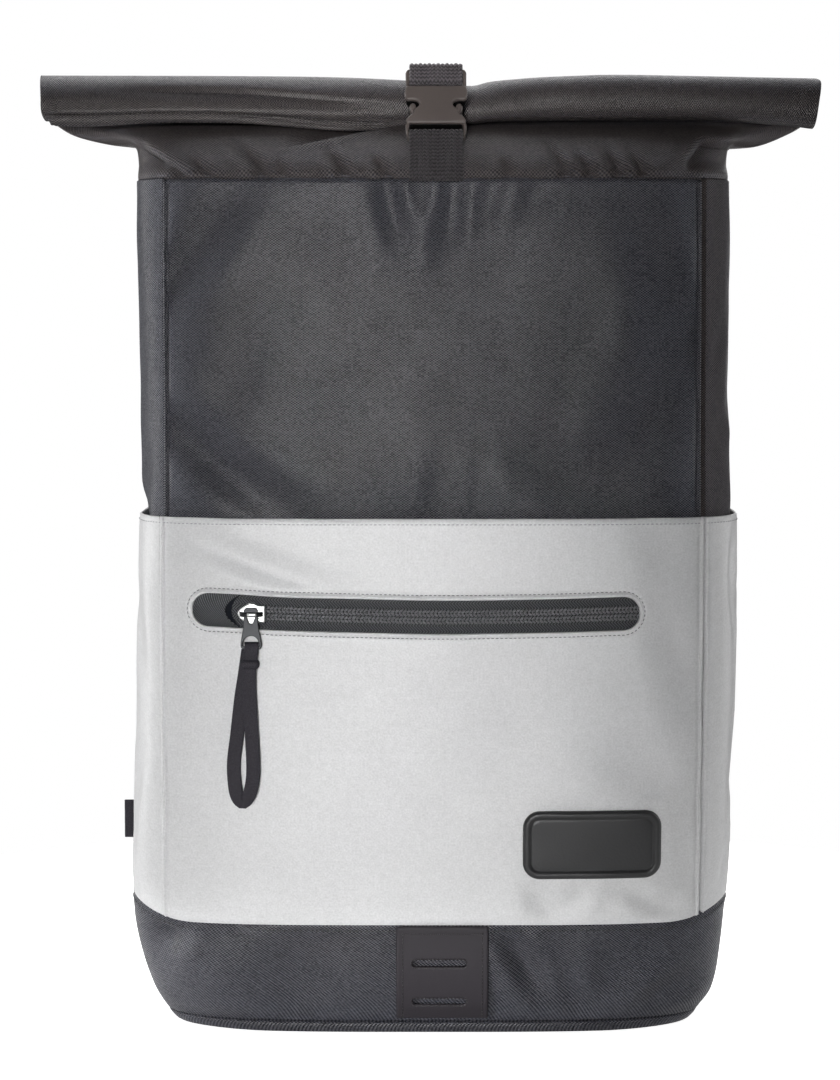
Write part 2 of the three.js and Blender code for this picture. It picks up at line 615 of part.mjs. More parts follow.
// Folded tag sewn to the left side pocket
function sideTag() {
  const section = sectionAt(POCKET, TAG.bottom);
  const inner = sideX(section, -1, TAG.y) - 2 * GAP;
  const outer = inner - TAG.out;
  const round = TAG.thick / 2;
  const profile = new THREE.Shape();
  profile.moveTo(inner, TAG.y + round);
  profile.lineTo(outer + round, TAG.y + round);
  profile.absarc(outer + round, TAG.y, round, Math.PI / 2, (Math.PI * 3) / 2, false);
  profile.lineTo(inner, TAG.y - round);
  const options = { depth: TAG.top - TAG.bottom, bevelEnabled: false, curveSegments: 6 };
  return new THREE.ExtrudeGeometry(profile, options).translate(0, 0, TAG.bottom);
}
add("side_tag", sideTag(), "webbing");

// Lash patch with two slots, on the base
const patchGrid = frontGrid(BASE, [], steps(PATCH.left, PATCH.right, 4), steps(PATCH.bottom, PATCH.top, 8));
const lashSlot = (z) => slab(stadium(LASH_SLOT.x, z, LASH_SLOT.long, LASH_SLOT.high), -40, 40);
const lashSlots = LASH_SLOT.heights.map(lashSlot);
add("lash_patch", cut(wall(patchGrid, GAP, GAP + PATCH.thick), ...lashSlots), "leather");

// Collar, front and back half: from the body's outline up to the roll, with an ear at each side
function collar(isFront) {
  const base = sectionAt(SHELL, TOP_SEAM);
  const inset = COLLAR_INSET + COLLAR_CLOTH;
  const section = { ...base, half: base.half - inset, front: base.front - inset, back: base.back - inset };
  const outline = halfOutline(section, isFront, 26);
  const ends = [ROLL[0].x + 2, ROLL[ROLL.length - 1].x - 2];
  const [from, to] = isFront ? ends : ends.toReversed();
  const middle = isFront ? "mid" : "back";
  const apart = isFront ? -GAP : GAP;
  const bottom = TOP_SEAM + GAP;
  const grid = COLLAR_PATH.map((row) =>
    outline.map((foot, i) => {
      const share = i / (outline.length - 1);
      const sideways = smoothstep(Math.abs(2 * share - 1), 0.7, 1);
      const lean = lerp(row[`${middle}Lean`], row.sideLean, sideways);
      const rise = lerp(row[`${middle}Rise`], row.sideRise, sideways);
      const z = lerp(bottom, ROOT.z, rise);
      const dent = foldDepth(isFront ? COLLAR_FOLDS : [], foot.x, z) * Math.sin(Math.PI * rise);
      const y = lerp(foot.y, ROOT.y, lean) + dent;
      return vector(lerp(foot.x, lerp(from, to, share), lean), y + apart, z);
    }),
  );
  return wall(grid, 0, COLLAR_CLOTH);
}
add("collar_front", collar(true), "black");
add("collar_back", collar(false), "black");

// Rolled top, a spiral through all the sections along X
function roll() {
  const angles = steps(degToRad(ROLL_TURN.from), degToRad(ROLL_TURN.to), ROLL_TURN.steps);
  const loops = ROLL.map((row) => {
    const centre = row.top - ROLL_CLOTH / 2 - row.tall;
    const spiral = (angle, offset) => {
      const shrink = offset - (ROLL_PITCH * (angle - Math.PI / 2)) / (2 * Math.PI);
      const y = ROLL_Y + (ROLL_DEEP + shrink) * Math.cos(angle);
      return vector(row.x, y, centre + (row.tall + shrink) * Math.sin(angle));
    };
    const outside = angles.map((angle) => spiral(angle, ROLL_CLOTH / 2));
    const inside = angles.toReversed().map((angle) => spiral(angle, -ROLL_CLOTH / 2));
    return [...outside, ...inside];
  });
  return loft(loops, loops[0].map((p) => new THREE.Vector2(p.y, p.z)));
}
add("roll", roll(), "black");

// Buckle: socket below, plug above with its two prongs in the socket
const buckleGroup = new THREE.Group();
buckleGroup.position.set(BUCKLE.x, BUCKLE.y, BUCKLE.z);
buckleGroup.rotation.x = Math.PI / 2 - degToRad(BUCKLE.lean);
bag.add(buckleGroup);

function plate(corners, thick, holes = []) {
  const mirrored = corners.toReversed().map(([x, y]) => [-x, y]);
  const shape = polygon([...corners, ...mirrored]);
  shape.holes.push(...holes);
  const geometry = new THREE.ExtrudeGeometry(shape, { depth: thick, bevelEnabled: false });
  return geometry.translate(0, 0, -thick / 2);
}

function rectangleHole(half, low, high) {
  return polygon([[-half, low], [-half, high], [half, high], [half, low]]);
}

function socket() {
  const { top, waist, frameTop, frameBottom, half, thick } = SOCKET;
  const body = plate(
    [[half, frameTop - 0.4], [half, frameTop + 0.8], [waist + 3.4, -8.4], [waist + 0.4, -5.2],
      [waist - 0.2, -1.2], [waist + 0.6, 1.2], [half - 0.3, 1.6], [half + 0.2, top]],
    thick,
  );
  const slotHole = rectangleHole(SOCKET_FRAME.slotHalf, SOCKET_FRAME.slotBottom, SOCKET_FRAME.slotTop);
  const frameCorners = [[half - 0.6, frameBottom], [half, frameBottom + 1], [half, frameTop]];
  const frame = plate(frameCorners, SOCKET_FRAME.thick, [slotHole]);
  const channels = [-1, 1].map((side) => {
    const [wide, deep, high] = [PRONG.outer - PRONG.inner + 0.7, PLUG.thick + 0.7, 12];
    const box = new THREE.BoxGeometry(wide, high, deep);
    return box.translate((side * (PRONG.inner + PRONG.outer)) / 2, top + 0.6 - high / 2, 0);
  });
  return cut(join(body, frame), ...channels);
}
add("buckle_socket", socket(), "plastic", buckleGroup);

function plug() {
  const { bottom, top, half, thick } = PLUG;
  const slotHole = rectangleHole(PLUG_SLOT.half, PLUG_SLOT.bottom, PLUG_SLOT.top);
  const frame = plate([[half, bottom], [half, top - 1.2], [half - 1.2, top]], thick, [slotHole]);
  const prongs = [-1, 1].map((side) => {
    const high = bottom + 1 - PRONG.tip;
    const box = new THREE.BoxGeometry(PRONG.outer - PRONG.inner, high, thick);
    return box.translate((side * (PRONG.inner + PRONG.outer)) / 2, PRONG.tip + high / 2, 0);
  });
  return join(frame, ...prongs);
}
add("buckle_plug", plug(), "plastic", buckleGroup);

// A place on the buckle, in the bag's frame
buckleGroup.updateMatrix();
const onBuckle = (up, out) => vector(0, up, out).applyMatrix4(buckleGroup.matrix);
const onStrap = (y, z) => vector(BUCKLE.x, y, z);
const webbingPath = (places) => places.map((at) => ({ at, across: vector(1, 0, 0) }));
const WRAP = GAP + WEBBING.thick / 2;

// Lower strap: from the top seam, round the socket's bar and back behind itself
const barFront = SOCKET_FRAME.thick / 2 + WRAP;
const barTop = SOCKET_FRAME.slotBottom + WRAP;
const lowerPath = webbingPath([
  onStrap(-56.2, TOP_SEAM + 0.8),
  onStrap(-53.6, 413),
  onStrap(-49.6, 421),
  onBuckle(SOCKET.frameBottom + 0.6, barFront),
  onBuckle(barTop - 0.6, barFront),
  onBuckle(barTop, barFront - 0.6),
  onBuckle(barTop, 0.6 - barFront),
  onBuckle(barTop - 0.6, -barFront),
  onBuckle(SOCKET.frameBottom - 0.4, -barFront),
]);
add("closure_strap_lower", band(lowerPath, WEBBING.width, WEBBING.thick), "webbing");

// Upper strap: from the back's top seam over the roll, round the plug's bar and back behind it
const plugFront = PLUG.thick / 2 + WRAP;
const plugTop = PLUG.top + WRAP;
const plugSlot = PLUG_SLOT.top - WRAP;
const upperPath = webbingPath([
  onStrap(66.2, TOP_SEAM + 0.8),
  onStrap(65, 413),
  onStrap(57, 423),
  onStrap(40, 435),
  onStrap(16, 449),
  onStrap(0, 456.4),
  onStrap(-12, 459.2),
  onBuckle(plugTop + 0.4, -1.2),
  onBuckle(plugTop, plugFront - 0.8),
  onBuckle(plugTop - 0.8, plugFront),
  onBuckle(plugSlot + 0.6, plugFront),
  onBuckle(plugSlot, plugFront - 0.6),
  onBuckle(plugSlot, 0.6 - plugFront),
  onBuckle(plugSlot + 0.6, -plugFront),
  onBuckle(PLUG.top - 1.6, -plugFront),
]);
add("closure_strap_upper", band(upperPath, WEBBING.width, WEBBING.thick), "webbing");

// Carrying straps, webbing tails and adjusters, and the haul loop at the top of the back
for (const [side, mirror] of [["left", -1], ["right", 1]]) {
  const path = (rows, count) => {
    const curve = new THREE.CatmullRomCurve3(rows.map((p) => vector(mirror * p.x, p.y, p.z)));
    return webbingPath(curve.getSpacedPoints(count));
  };
  add(`shoulder_strap_${side}`, band(path(SHOULDER, 14), SHOULDER_WIDTH, STRAP_PAD, { bevel: 2.6 }), "mesh");
  const tail = band(path(STRAP_TAIL, 6), NARROW_WEBBING.width, NARROW_WEBBING.thick);
  add(`strap_webbing_${side}`, tail, "webbing");
  const adjuster = new THREE.BoxGeometry(2 * ADJUSTER.half, ADJUSTER.thick, ADJUSTER.high);
  adjuster.translate(mirror * ADJUSTER.x, ADJUSTER.y, ADJUSTER.z);
  add(`strap_adjuster_${side}`, adjuster, "plastic");
}
const haulPath = webbingPath(HAUL_LOOP.map((row) => vector(0, row.y, row.z)));
add("haul_loop", band(haulPath, WEBBING.width, WEBBING.thick), "webbing");

export default bag;
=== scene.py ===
"""Roll-top laptop backpack: sewn cloth, webbing, zip, badge and buckle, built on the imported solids."""
import math

import bmesh
import bpy
import numpy as np
from bpy.props import FloatProperty, FloatVectorProperty, IntProperty, PointerProperty
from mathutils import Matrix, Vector, noise


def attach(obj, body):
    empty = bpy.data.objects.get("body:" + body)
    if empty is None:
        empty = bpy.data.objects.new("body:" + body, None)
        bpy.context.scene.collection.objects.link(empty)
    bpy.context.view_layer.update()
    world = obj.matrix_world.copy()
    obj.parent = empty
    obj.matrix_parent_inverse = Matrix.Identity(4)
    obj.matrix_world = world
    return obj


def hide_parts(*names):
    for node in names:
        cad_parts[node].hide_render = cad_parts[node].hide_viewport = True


bl_info = {
    "name": "Roll-top Laptop Backpack",
    "version": (1, 0, 0),
    "blender": (4, 5, 0),
    "location": "View3D > Sidebar > Backpack",
    "description": "Builds the cloth, webbing, zip and buckle of a roll-top laptop backpack on its solids",
    "category": "Add Mesh",
}

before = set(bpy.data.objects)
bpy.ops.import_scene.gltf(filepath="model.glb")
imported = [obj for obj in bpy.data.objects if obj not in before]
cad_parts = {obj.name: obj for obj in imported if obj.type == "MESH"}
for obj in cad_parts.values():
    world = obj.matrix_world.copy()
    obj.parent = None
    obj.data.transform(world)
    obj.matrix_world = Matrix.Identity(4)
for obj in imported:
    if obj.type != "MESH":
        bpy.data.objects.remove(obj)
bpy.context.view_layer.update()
MM = 0.001
BODY = "root"

# Heights of the seams and places of the upright seams, in millimetres as all sizes below
BASE_SEAM = 55.0
POCKET_TOP = 247.0
TOP_SEAM = 404.5
FRONT_SEAM = (-126.3, 124.7)
POCKET_SEAM = (-128.2, 125.8)
BACK_PLANE = 58.0
BACK_HALF = 138.0
GAP = 0.4
SEAM_GAP = 0.8

# Outlines seen from above: z, half width, shift to the right, front depth, back depth, squareness
BACK_SQUARE = 8.0
SHELL = np.array([
    (56, 141.8, -1.8, 59.6, 66, 4),
    (80, 136, -1.4, 55.5, 66, 5.6),
    (150, 133, -0.3, 55.5, 66, 6),
    (235, 138.5, 1.5, 61, 66, 5),
    (252, 140.8, 1.4, 63.2, 66, 4.4),
    (275, 141, 1.2, 63.4, 66, 4),
    (340, 141.5, 0.1, 61, 66, 4),
    (404.5, 141.2, -0.3, 56, 66, 4),
])
POCKET = np.array([
    (55, 144.3, -1.8, 62, 66, 4),
    (74, 144.8, -1.6, 64, 66, 4.3),
    (120, 144.2, 0, 67, 66, 4.5),
    (200, 143.7, 1.7, 68, 66, 4.6),
    (247, 142.9, 2.2, 66, 66, 4.4),
])
BASE = np.array([
    (6.4, 130.6, -0.2, 50, 60, 3.7),
    (16, 137, -0.6, 56, 63, 3.6),
    (34, 142.2, -2, 60.5, 65.4, 3.8),
    (55, 144.3, -1.8, 62, 66, 4),
])

# Folds and dents: x (or depth y on a side), z, lean from upright in degrees, reach along, reach across, depth
FRONT_FOLDS = np.array([
    (-20, 392, -12, 16, 6, 2.17),
    (8, 390, 10, 20, 6, 2.32),
    (-6, 396, 0, 10, 5, 1.16),
    (24, 394, 24, 16, 7, 1.74),
    (46, 396, 38, 14, 8, 1.3),
    (-104, 384, 40, 26, 10, 1.5),
    (-112, 366, 40, 26, 9, 1.59),
    (-96, 306, 30, 34, 12, 0.9),
    (-106, 280, -48, 26, 9, 1.89),
    (-92, 266, -58, 34, 10, 1.74),
    (106, 352, -18, 36, 12, 1.3),
    (100, 300, 20, 36, 14, 1.59),
    (60, 270, -62, 40, 13, 1.45),
    (20, 262, -8, 16, 7, 1.01),
    (4, 262, 6, 16, 7, 1.01),
    (-40, 340, 30, 70, 30, 0.5),
    (50, 330, -30, 80, 34, 0.6),
])
POCKET_FOLDS = np.array([
    (96, 132, -40, 34, 13, 1.95),
    (112, 186, -16, 34, 9, 2.25),
    (120, 114, 40, 18, 6, 1.5),
    (108, 124, 62, 16, 6, 1),
    (52, 67, -24, 12, 7, 3),
    (66, 68, 30, 11, 6, 2.2),
    (98, 69, -50, 13, 6, 2.8),
    (112, 67, 34, 12, 6, 2.2),
    (118, 88, -8, 16, 5, 1.35),
    (84, 72, 20, 12, 6, 1.05),
    (-104, 150, 12, 40, 14, 1.65),
    (-86, 227, -72, 30, 6, 1.5),
    (-100, 236, -64, 24, 6, 1.2),
    (-62, 220, -66, 22, 7, 1.2),
    (108, 232, -30, 22, 9, 1.5),
    (-40, 120, -20, 60, 30, 1.35),
    (30, 140, 25, 60, 26, 1.2),
])
BASE_FOLDS = np.array([
    (40, 40, -26, 18, 6, 4),
    (52, 26, -34, 16, 7, 3),
    (64.5, 26, -20, 15, 6, 3.6),
    (84, 32, 30, 20, 10, 1.5),
    (-64, 30, 20, 22, 14, 1.5),
    (-127, 46, 30, 12, 7, 3.6),
    (-101, 31, 0, 22, 20, -3.3),
    (110, 20, 60, 16, 6, 1.8),
])
LEFT_FOLDS = np.array([
    (4, 240, 0, 12, 40, 12),
    (-30, 330, 10, 40, 14, 1.2),
    (-34, 270, -14, 24, 9, 1.2),
    (10, 380, 8, 26, 12, 0.9),
])
RIGHT_FOLDS = np.array([
    (-24, 318, -12, 46, 14, 1.2),
    (10, 262, 0, 12, 30, 1),
    (-40, 330, 34, 13, 5, 1.2),
    (-40, 286, -40, 12, 5, 1.3),
    (-34, 296, 30, 16, 6, 0.8),
])
LEFT_POCKET_FOLDS = np.array([
    (-40, 190, 10, 22, 7, 1.65),
    (-38, 118, -16, 22, 7, 1.65),
    (-20, 216, 20, 20, 8, 1.2),
])
RIGHT_POCKET_FOLDS = np.array([
    (-30, 208, 10, 24, 6, 1.9),
    (-42, 216, -4, 20, 5, 1.68),
    (-36, 170, -10, 26, 5, 2.1),
    (-30, 120, -12, 26, 8, 2.38),
    (-40, 100, 10, 14, 4, 1.96),
    (-10, 180, 8, 40, 9, 0.9),
    (12, 150, 6, 46, 12, 0.7),
    (-16, 110, -18, 26, 8, 1.96),
    (30, 190, -6, 40, 12, 0.6),
    (-39, 229, 8, 12, 4, 1.7),
    (-38, 192, -12, 12, 4, 2.1),
    (-37, 152, 12, 12, 4, 2.1),
    (-38, 112, -18, 14, 5, 2.4),
    (-39, 76, 10, 12, 4, 1.5),
])

# Sides: name and direction; and for each side cloth its outlines, seams, folds and seed of unevenness
SIDES = (("left", -1), ("right", 1))
SHELL_SIDES = (SHELL, FRONT_SEAM, (LEFT_FOLDS, RIGHT_FOLDS), 11.5)
POCKET_SIDES = (POCKET, POCKET_SEAM, (LEFT_POCKET_FOLDS, RIGHT_POCKET_FOLDS), 21.5)

# Stiff base: thickness of the band, and inset and height round the floor's edge
BASE_CLOTH = 2.4
FLOOR_PROFILE = ((2.2, 0), (1.2, 0.3), (0.5, 1), (0.2, 2), (0, 3.2), (0.1, 4.4), (0.4, 5.2), (2, 5.8), (5, 6))

# Collar between the top seam and the roll: lean and rise in the middle, at the left, at the right and behind
ROOT = (-4.5, 434.0)
COLLAR_INSET = 0.6
COLLAR_CLOTH = 1.5
COLLAR_PATH = np.array([
    (0, 0, 0, 0, 0, 0, 0, 0),
    (0.12, 0.3, -0.02, 0.26, -0.02, 0.26, 0.1, 0.3),
    (0.3, 0.55, -0.05, 0.5, -0.05, 0.48, 0.3, 0.55),
    (0.52, 0.73, 0.02, 0.6, -0.02, 0.585, 0.53, 0.74),
    (0.72, 0.83, 0.36, 0.665, 0.38, 0.635, 0.74, 0.86),
    (0.88, 0.88, 0.72, 0.8, 0.74, 0.83, 0.9, 0.93),
    (1, 1, 1, 1, 1, 1, 1, 1),
])
COLLAR_FOLDS = np.array([
    (-118, 407, -48, 7, 2.5, 2.7),
    (-106, 407.5, -50, 9, 2.5, 3.4),
    (-84, 412.5, -42, 11, 3.4, 5.4),
    (-70, 407, -40, 7, 2.5, 2.7),
    (-43.5, 409, -37, 9, 2.9, 5.1),
    (-23, 407.5, -45, 8, 2.5, 3.4),
    (33, 408, -30, 8, 2.9, 2.4),
    (58, 411, -34, 10, 2.9, 4.4),
    (70, 409, -38, 9, 2.7, 3.7),
    (84, 409, -34, 10, 2.9, 4.4),
    (96, 407.5, -40, 8, 2.5, 3.4),
    (109, 413, 24, 12, 6, -2.2),
])

# Rolled top: the cloth winds round a line along X; x, top and half height of the roll
ROLL_Y = -14.0
ROLL_DEEP = 9.6
ROLL_PITCH = 3.4
ROLL_CLOTH = 3.0
ROLL_TURN = (-30.0, 560.0)
ROLL_LEAN = 0.36
ROLL = np.array([
    (-186.6, 455.2, 10.5),
    (-60, 454.6, 10.2),
    (-16, 453, 9.4),
    (18, 450.2, 8.6),
    (27, 452.2, 9.1),
    (46, 453.8, 9.7),
    (62, 454.6, 10),
    (85, 455.3, 10.3),
    (130, 454.6, 10),
    (165, 453.9, 10.7),
    (183.3, 453.6, 11.4),
])

# Hem along the lower front of the roll: x, height of its line, and how far its lip hangs below the line
HEM = np.array([(-184, 436.4), (-160, 436.2), (-134, 437), (-91, 436.4), (-49, 433.4), (-14, 431)])
HEM_LIP = (4.4, 4.3, 3.6, 3.2, 3.4, 2.6)

# Front zip: window and bend, the ribbon loop's path and turn, and outlines of the slider and its pull tab
ZIP = {"left": -112.8, "right": 95.9, "z": 202.5, "high": 15.8}
ZIP_BEND = np.array([
    (-113, 2.6), (-98, 2.2), (-71, 0.9), (-25, -0.25), (3, -0.7), (30, -0.5), (58, 0), (77, 0.6), (97, 1.2)])
SLIDER_X = -84.5
PULL_LOOP = np.array([
    (-0.6, 2, -20, 0),
    (0, 2, -15.6, 0),
    (0.2, 3.4, -13.2, 0),
    (0.4, 4.8, -15.4, 0),
    (-0.4, 4.6, -22, 0),
    (-1, 4.2, -30, 0),
    (-0.4, 3.8, -46, 0),
    (0.2, 3.8, -57, 0),
    (0.7, 3.8, -69, -4),
    (0.5, 3.7, -77, -16),
    (-1.2, 3.5, -84.4, -48),
    (-4.4, 3, -88.2, -94),
    (-7.2, 2.4, -85.2, -140),
    (-8.5, 1.9, -77, -172),
    (-8.6, 1.7, -69, -182),
    (-7.1, 1.6, -57, -186),
    (-5, 1.6, -39, -186),
    (-3.4, 1.6, -29, -186),
    (-1.6, 1.6, -17, -184),
])
COIL_BED = ((-3.2, -1.5), (-2.6, -0.95), (-0.5, -0.8), (0, -1.1), (0.5, -0.8), (2.6, -0.95), (3.2, -1.5))
SLIDER_LINE = (
    (6.4, -4), (6.4, 4), (3.4, 3.9), (2.2, 4.4), (0.6, 5.2), (-1.4, 4.9), (-3.6, 3.6), (-5.6, 1.9), (-6.4, 0.6),
    (-6.4, -0.6), (-5.4, -2), (-3.4, -3.6), (-1, -4.8), (2, -4.6), (3.4, -3.9))
SLIDER_BAIL = (
    (-5.4, 0, 2.8), (-4.4, 0, 4), (-2.6, 0, 4.8), (0, 0, 5.1), (2.6, 0, 4.8), (4.4, 0, 4), (5.4, 0, 2.8))
# Short silver piece on the middle of the dark bail: a painted highlight.
BAIL_HIGHLIGHT = ((-1.5, 0, 5.6), (-1.2, 0, 5.75), (0.6, 0, 5.8), (2.4, 0, 5.6), (2.7, 0, 5.4))
PULL_TAB = (
    (-3.3, 2.2), (-3.5, -5.6), (-4.9, -13), (-4.9, -15.4), (-3.9, -16.4), (3.9, -16.4), (4.9, -15.4), (4.9, -13),
    (3.5, -5.6), (3.3, 2.2), (2.2, 3.1), (-2.2, 3.1))
PULL_EYE = ((-1.7, 0.2), (1.7, 0.2), (1.9, -1.2), (0.7, -4.4), (-0.7, -4.4), (-1.9, -1.2))

# Trim: bare badge with the inset and height of its rim, lash patch and side tag
BADGE_RIM = (
    (0, 0.3), (0.15, 1.2), (0.6, 2), (1.4, 2.5), (2.3, 2.6), (3.1, 2.3), (3.6, 1.8), (4, 1.45), (4.3, 1.35), (4.6, 1.5),
    (5.2, 1.55))
BADGE = {"x": 74.2, "z": 94.2, "half": 32.6, "high": 16.4, "corner": 8.0}
PATCH = {"left": -17.3, "right": 25.3, "bottom": 8.4, "top": 54.6, "thick": 1.4}
LASH_SLOTS = ((2.6, 17.5, 26.0, 3.8), (2.6, 37.0, 26.0, 3.8))
TAG = {"y": 8.0, "bottom": 83.7, "top": 102.2, "out": 5.8, "thick": 1.8}

# Buckle: place, lean back, the solids' sizes along its length, and outlines of the right half of its parts
BUCKLE = (1.0, -35.2, 441.0)
BUCKLE_LEAN = 28.0
PLUG_TOP = 17.6
PLUG_SLOT = (12.55, 7.4, 10.6)
SOCKET_BAR = (-21.0, -18.6)
SOCKET_WAIST = (
    (13.6, -13.4), (14.1, -12.2), (13.3, -10.2), (11.3, -8.4), (10.4, -7.2), (10.2, -5.9), (9.2, -5.1), (7.9, -3.8),
    (7.9, -2.3), (9, -1.2), (10.8, -0.8), (13.4, -0.9), (14.4, 0.2), (14.9, 3), (14.3, 6.2), (13.3, 6.9))
SOCKET_ARM = ((13.9, -12), (14.3, -15), (14, -17.8), (13.4, -20.2), (12.8, -19.4), (12.5, -14.2), (11.6, -12.6))
# Outline of the near-black plate behind the socket's window and notches: painted shade.
SOCKET_SHADE_PLATE = ((12.3, -17.4), (12.3, -12.6), (10, -8), (12.6, -5.4), (13, 0.6))
PLUG_HEAD = ((14.2, 5.4), (14.3, 15.2), (13.2, 16.8))
PLUG_PRONG = (
    (10.6, -2.2), (9.6, -2.8), (9.2, -4.4), (9.9, -6.4), (11.2, -8), (12.2, -6.4), (12.5, -4.2), (11.9, -2.6))
WEBBING = (25.0, 1.6)
NARROW_WEBBING = (20.0, 1.6)

# Carrying straps on the right, and the haul loop
SHOULDER = np.array([
    (63, 70.5, 398),
    (63, 70.6, 384),
    (64, 80, 362),
    (66, 95, 328),
    (69, 101, 284),
    (73, 97, 240),
    (76, 89, 204),
])
SHOULDER_WIDTH = 60.0
STRAP_PAD = 8.0
STRAP_TAIL = np.array([(77, 86.4, 189.6), (83, 78.5, 150), (91, 71, 96), (97, 67.4, 62)])
ADJUSTER = (76.6, 87.2, 195.0)
HAUL_LOOP = np.array([
    (0, 67.4, 368),
    (0, 67.4, 390),
    (0, 69.2, 406),
    (0, 74, 418),
    (0, 81, 421.6),
    (0, 87.4, 417),
    (0, 88, 407),
    (0, 82, 397),
    (0, 73, 388),
    (0, 69.6, 378),
    (0, 69.6, 368),
])

# Studio: radius of the round floor; lamps with place, target and size in metres, spread in degrees and power;
# camera with place and target in metres and its lens
FLOOR_RADIUS = 460.0
LAMPS = (
    ("key_strip", (-0.17, -1.35, 0.375), (-0.03, 0, 0.235), (0.24, 0.66), 20, 0.59),
    ("left_rim", (-0.9, 0.2, 0.4), (-0.1, 0, 0.24), (0.4, 0.9), 180, 7.6),
    ("right_rim", (0.9, 0.2, 0.4), (0.1, 0, 0.24), (0.4, 0.9), 180, 4.3),
    ("top_softbox", (-0.1, 0.5, 1.15), (0, -0.02, 0.44), (0.9, 0.4), 120, 2.8),
    ("back_softbox", (0.1, 1.3, 0.7), (0, 0, 0.24), (1.2, 1.0), 180, 8),
    ("base_side", (-1.0, -0.66, 0.05), (-0.02, -0.06, 0.024), (0.36, 0.03), 5, 0.055),
    ("low_fill", (-0.16, -1.2, 0.1), (-0.06, 0, 0.462), (0.6, 0.05), 6, 0.042),
)
CAMERA = ((-0.0065, -1.33092, 0.34834), (-0.0065, 0, 0.2319), 91.33)


class BackpackSizes(bpy.types.PropertyGroup):
    """Sizes that a maker would change."""

    body_cloth: FloatProperty(
        name="Body cloth", description="Thickness of the black body cloth",
        default=0.002, min=0.0005, max=0.004, subtype="DISTANCE")
    pocket_cloth: FloatProperty(
        name="Pocket cloth", description="Thickness of the grey pocket cloth",
        default=0.0014, min=0.0005, max=0.002, subtype="DISTANCE")
    stitch_pitch: FloatProperty(
        name="Stitch pitch", description="Distance from one stitch to the next",
        default=0.0021, min=0.001, max=0.006, subtype="DISTANCE")
    stitch_length: FloatProperty(
        name="Stitch length", description="Length of one visible stitch",
        default=0.0015, min=0.0005, max=0.005, subtype="DISTANCE")
    thread: FloatProperty(
        name="Thread", description="Thickness of the sewing thread",
        default=0.0005, min=0.0002, max=0.001, subtype="DISTANCE")
    weave: FloatProperty(
        name="Weave", description="Repeat of the coarse black weave",
        default=0.00196, min=0.0005, max=0.006, subtype="DISTANCE")
    zip_pitch: FloatProperty(
        name="Zip pitch", description="Distance from one coil of the zip to the next",
        default=0.0018, min=0.001, max=0.003, subtype="DISTANCE")
    webbing_ribs: IntProperty(
        name="Webbing ribs", description="Ribs across the wide webbing",
        default=12, min=4, max=30)


class BackpackColours(bpy.types.PropertyGroup):
    """Colours of the cloths and fittings."""

    # The bluish default is painted sheen colour; the collar, roll and right side use a browner copy as painted shade
    # colour.
    black_cloth: FloatVectorProperty(
        name="Black cloth", description="Body, collar and roll", default=(0.0345, 0.0335, 0.0375),
        subtype="COLOR", min=0, max=1)
    grey_cloth: FloatVectorProperty(
        name="Grey cloth", description="Front and side pockets", default=(0.56, 0.56, 0.565),
        subtype="COLOR", min=0, max=1)
    base_cloth: FloatVectorProperty(
        name="Base cloth", description="Base band and floor", default=(0.0295, 0.0282, 0.0312),
        subtype="COLOR", min=0, max=1)
    webbing: FloatVectorProperty(
        name="Webbing", description="Straps, ribbon and tag", default=(0.024, 0.021, 0.023),
        subtype="COLOR", min=0, max=1)
    plastic: FloatVectorProperty(
        name="Plastic", description="Buckle and strap adjusters", default=(0.088, 0.073, 0.068),
        subtype="COLOR", min=0, max=1)
    rubber: FloatVectorProperty(
        name="Rubber", description="Moulded badge", default=(0.022, 0.022, 0.023),
        subtype="COLOR", min=0, max=1)
    leather: FloatVectorProperty(
        name="Leather", description="Lash patch", default=(0.020, 0.017, 0.021),
        subtype="COLOR", min=0, max=1)
    back_mesh: FloatVectorProperty(
        name="Back mesh", description="Padded back and shoulder straps", default=(0.035, 0.035, 0.037),
        subtype="COLOR", min=0, max=1)
    grey_thread: FloatVectorProperty(
        name="Grey thread", description="Stitches on the grey cloth", default=(0.16, 0.16, 0.17),
        subtype="COLOR", min=0, max=1)
    zip_tape: FloatVectorProperty(
        name="Zip tape", description="Zip tape, flap and coil", default=(0.058, 0.060, 0.064),
        subtype="COLOR", min=0, max=1)


# Surfaces of the bag


def curve_at(rows, at):
    """All columns of a table at places of its first column, on a smooth curve through the rows."""
    at = np.asarray(at, float)
    last = len(rows) - 1
    before = np.maximum(np.arange(last + 1) - 1, 0)
    after = np.minimum(np.arange(last + 1) + 1, last)
    slope = (rows[after] - rows[before]) / (rows[after, :1] - rows[before, :1])
    i = np.clip(np.searchsorted(rows[:, 0], at, side="right") - 1, 0, last - 1)
    span = (rows[i + 1, 0] - rows[i, 0])[..., None]
    t = np.clip((at - rows[i, 0])[..., None] / span, 0, 1)
    start = rows[i] * (1 + 2 * t) + slope[i] * span * t
    end = rows[i + 1] * (3 - 2 * t) - slope[i + 1] * span * (1 - t)
    return start * (1 - t) ** 2 + end * t**2


def front_y(rows, x, z):
    """Depth of the front surface at x and z."""
    half, shift, front, square = (curve_at(rows, z)[..., k] for k in (1, 2, 3, 5))
    reach = np.clip(np.abs(x - shift) / half, 0, 1)
    return -front * (1 - reach**square) ** (1 / square)


def side_x(rows, side, y, z):
    """Place of the left (-1) or right (1) surface at depth y and height z."""
    half, shift, front, back, square = (curve_at(rows, z)[..., k] for k in (1, 2, 3, 4, 5))
    depth = np.where(y < 0, front, back)
    power = np.where(y < 0, square, BACK_SQUARE)
    return shift + side * half * (1 - np.clip(np.abs(y) / depth, 0, 1) ** power) ** (1 / power)


def smoothstep(value, low, high):
    t = np.clip((value - low) / (high - low), 0, 1)
    return t * t * (3 - 2 * t)


def hump(value, middle, width):
    """Bell curve, 1 at its middle."""
    return np.exp(-(((value - middle) / width) ** 2))


def bent(value, power):
    """Power of a value that keeps its sign."""
    return np.sign(value) * np.abs(value) ** power


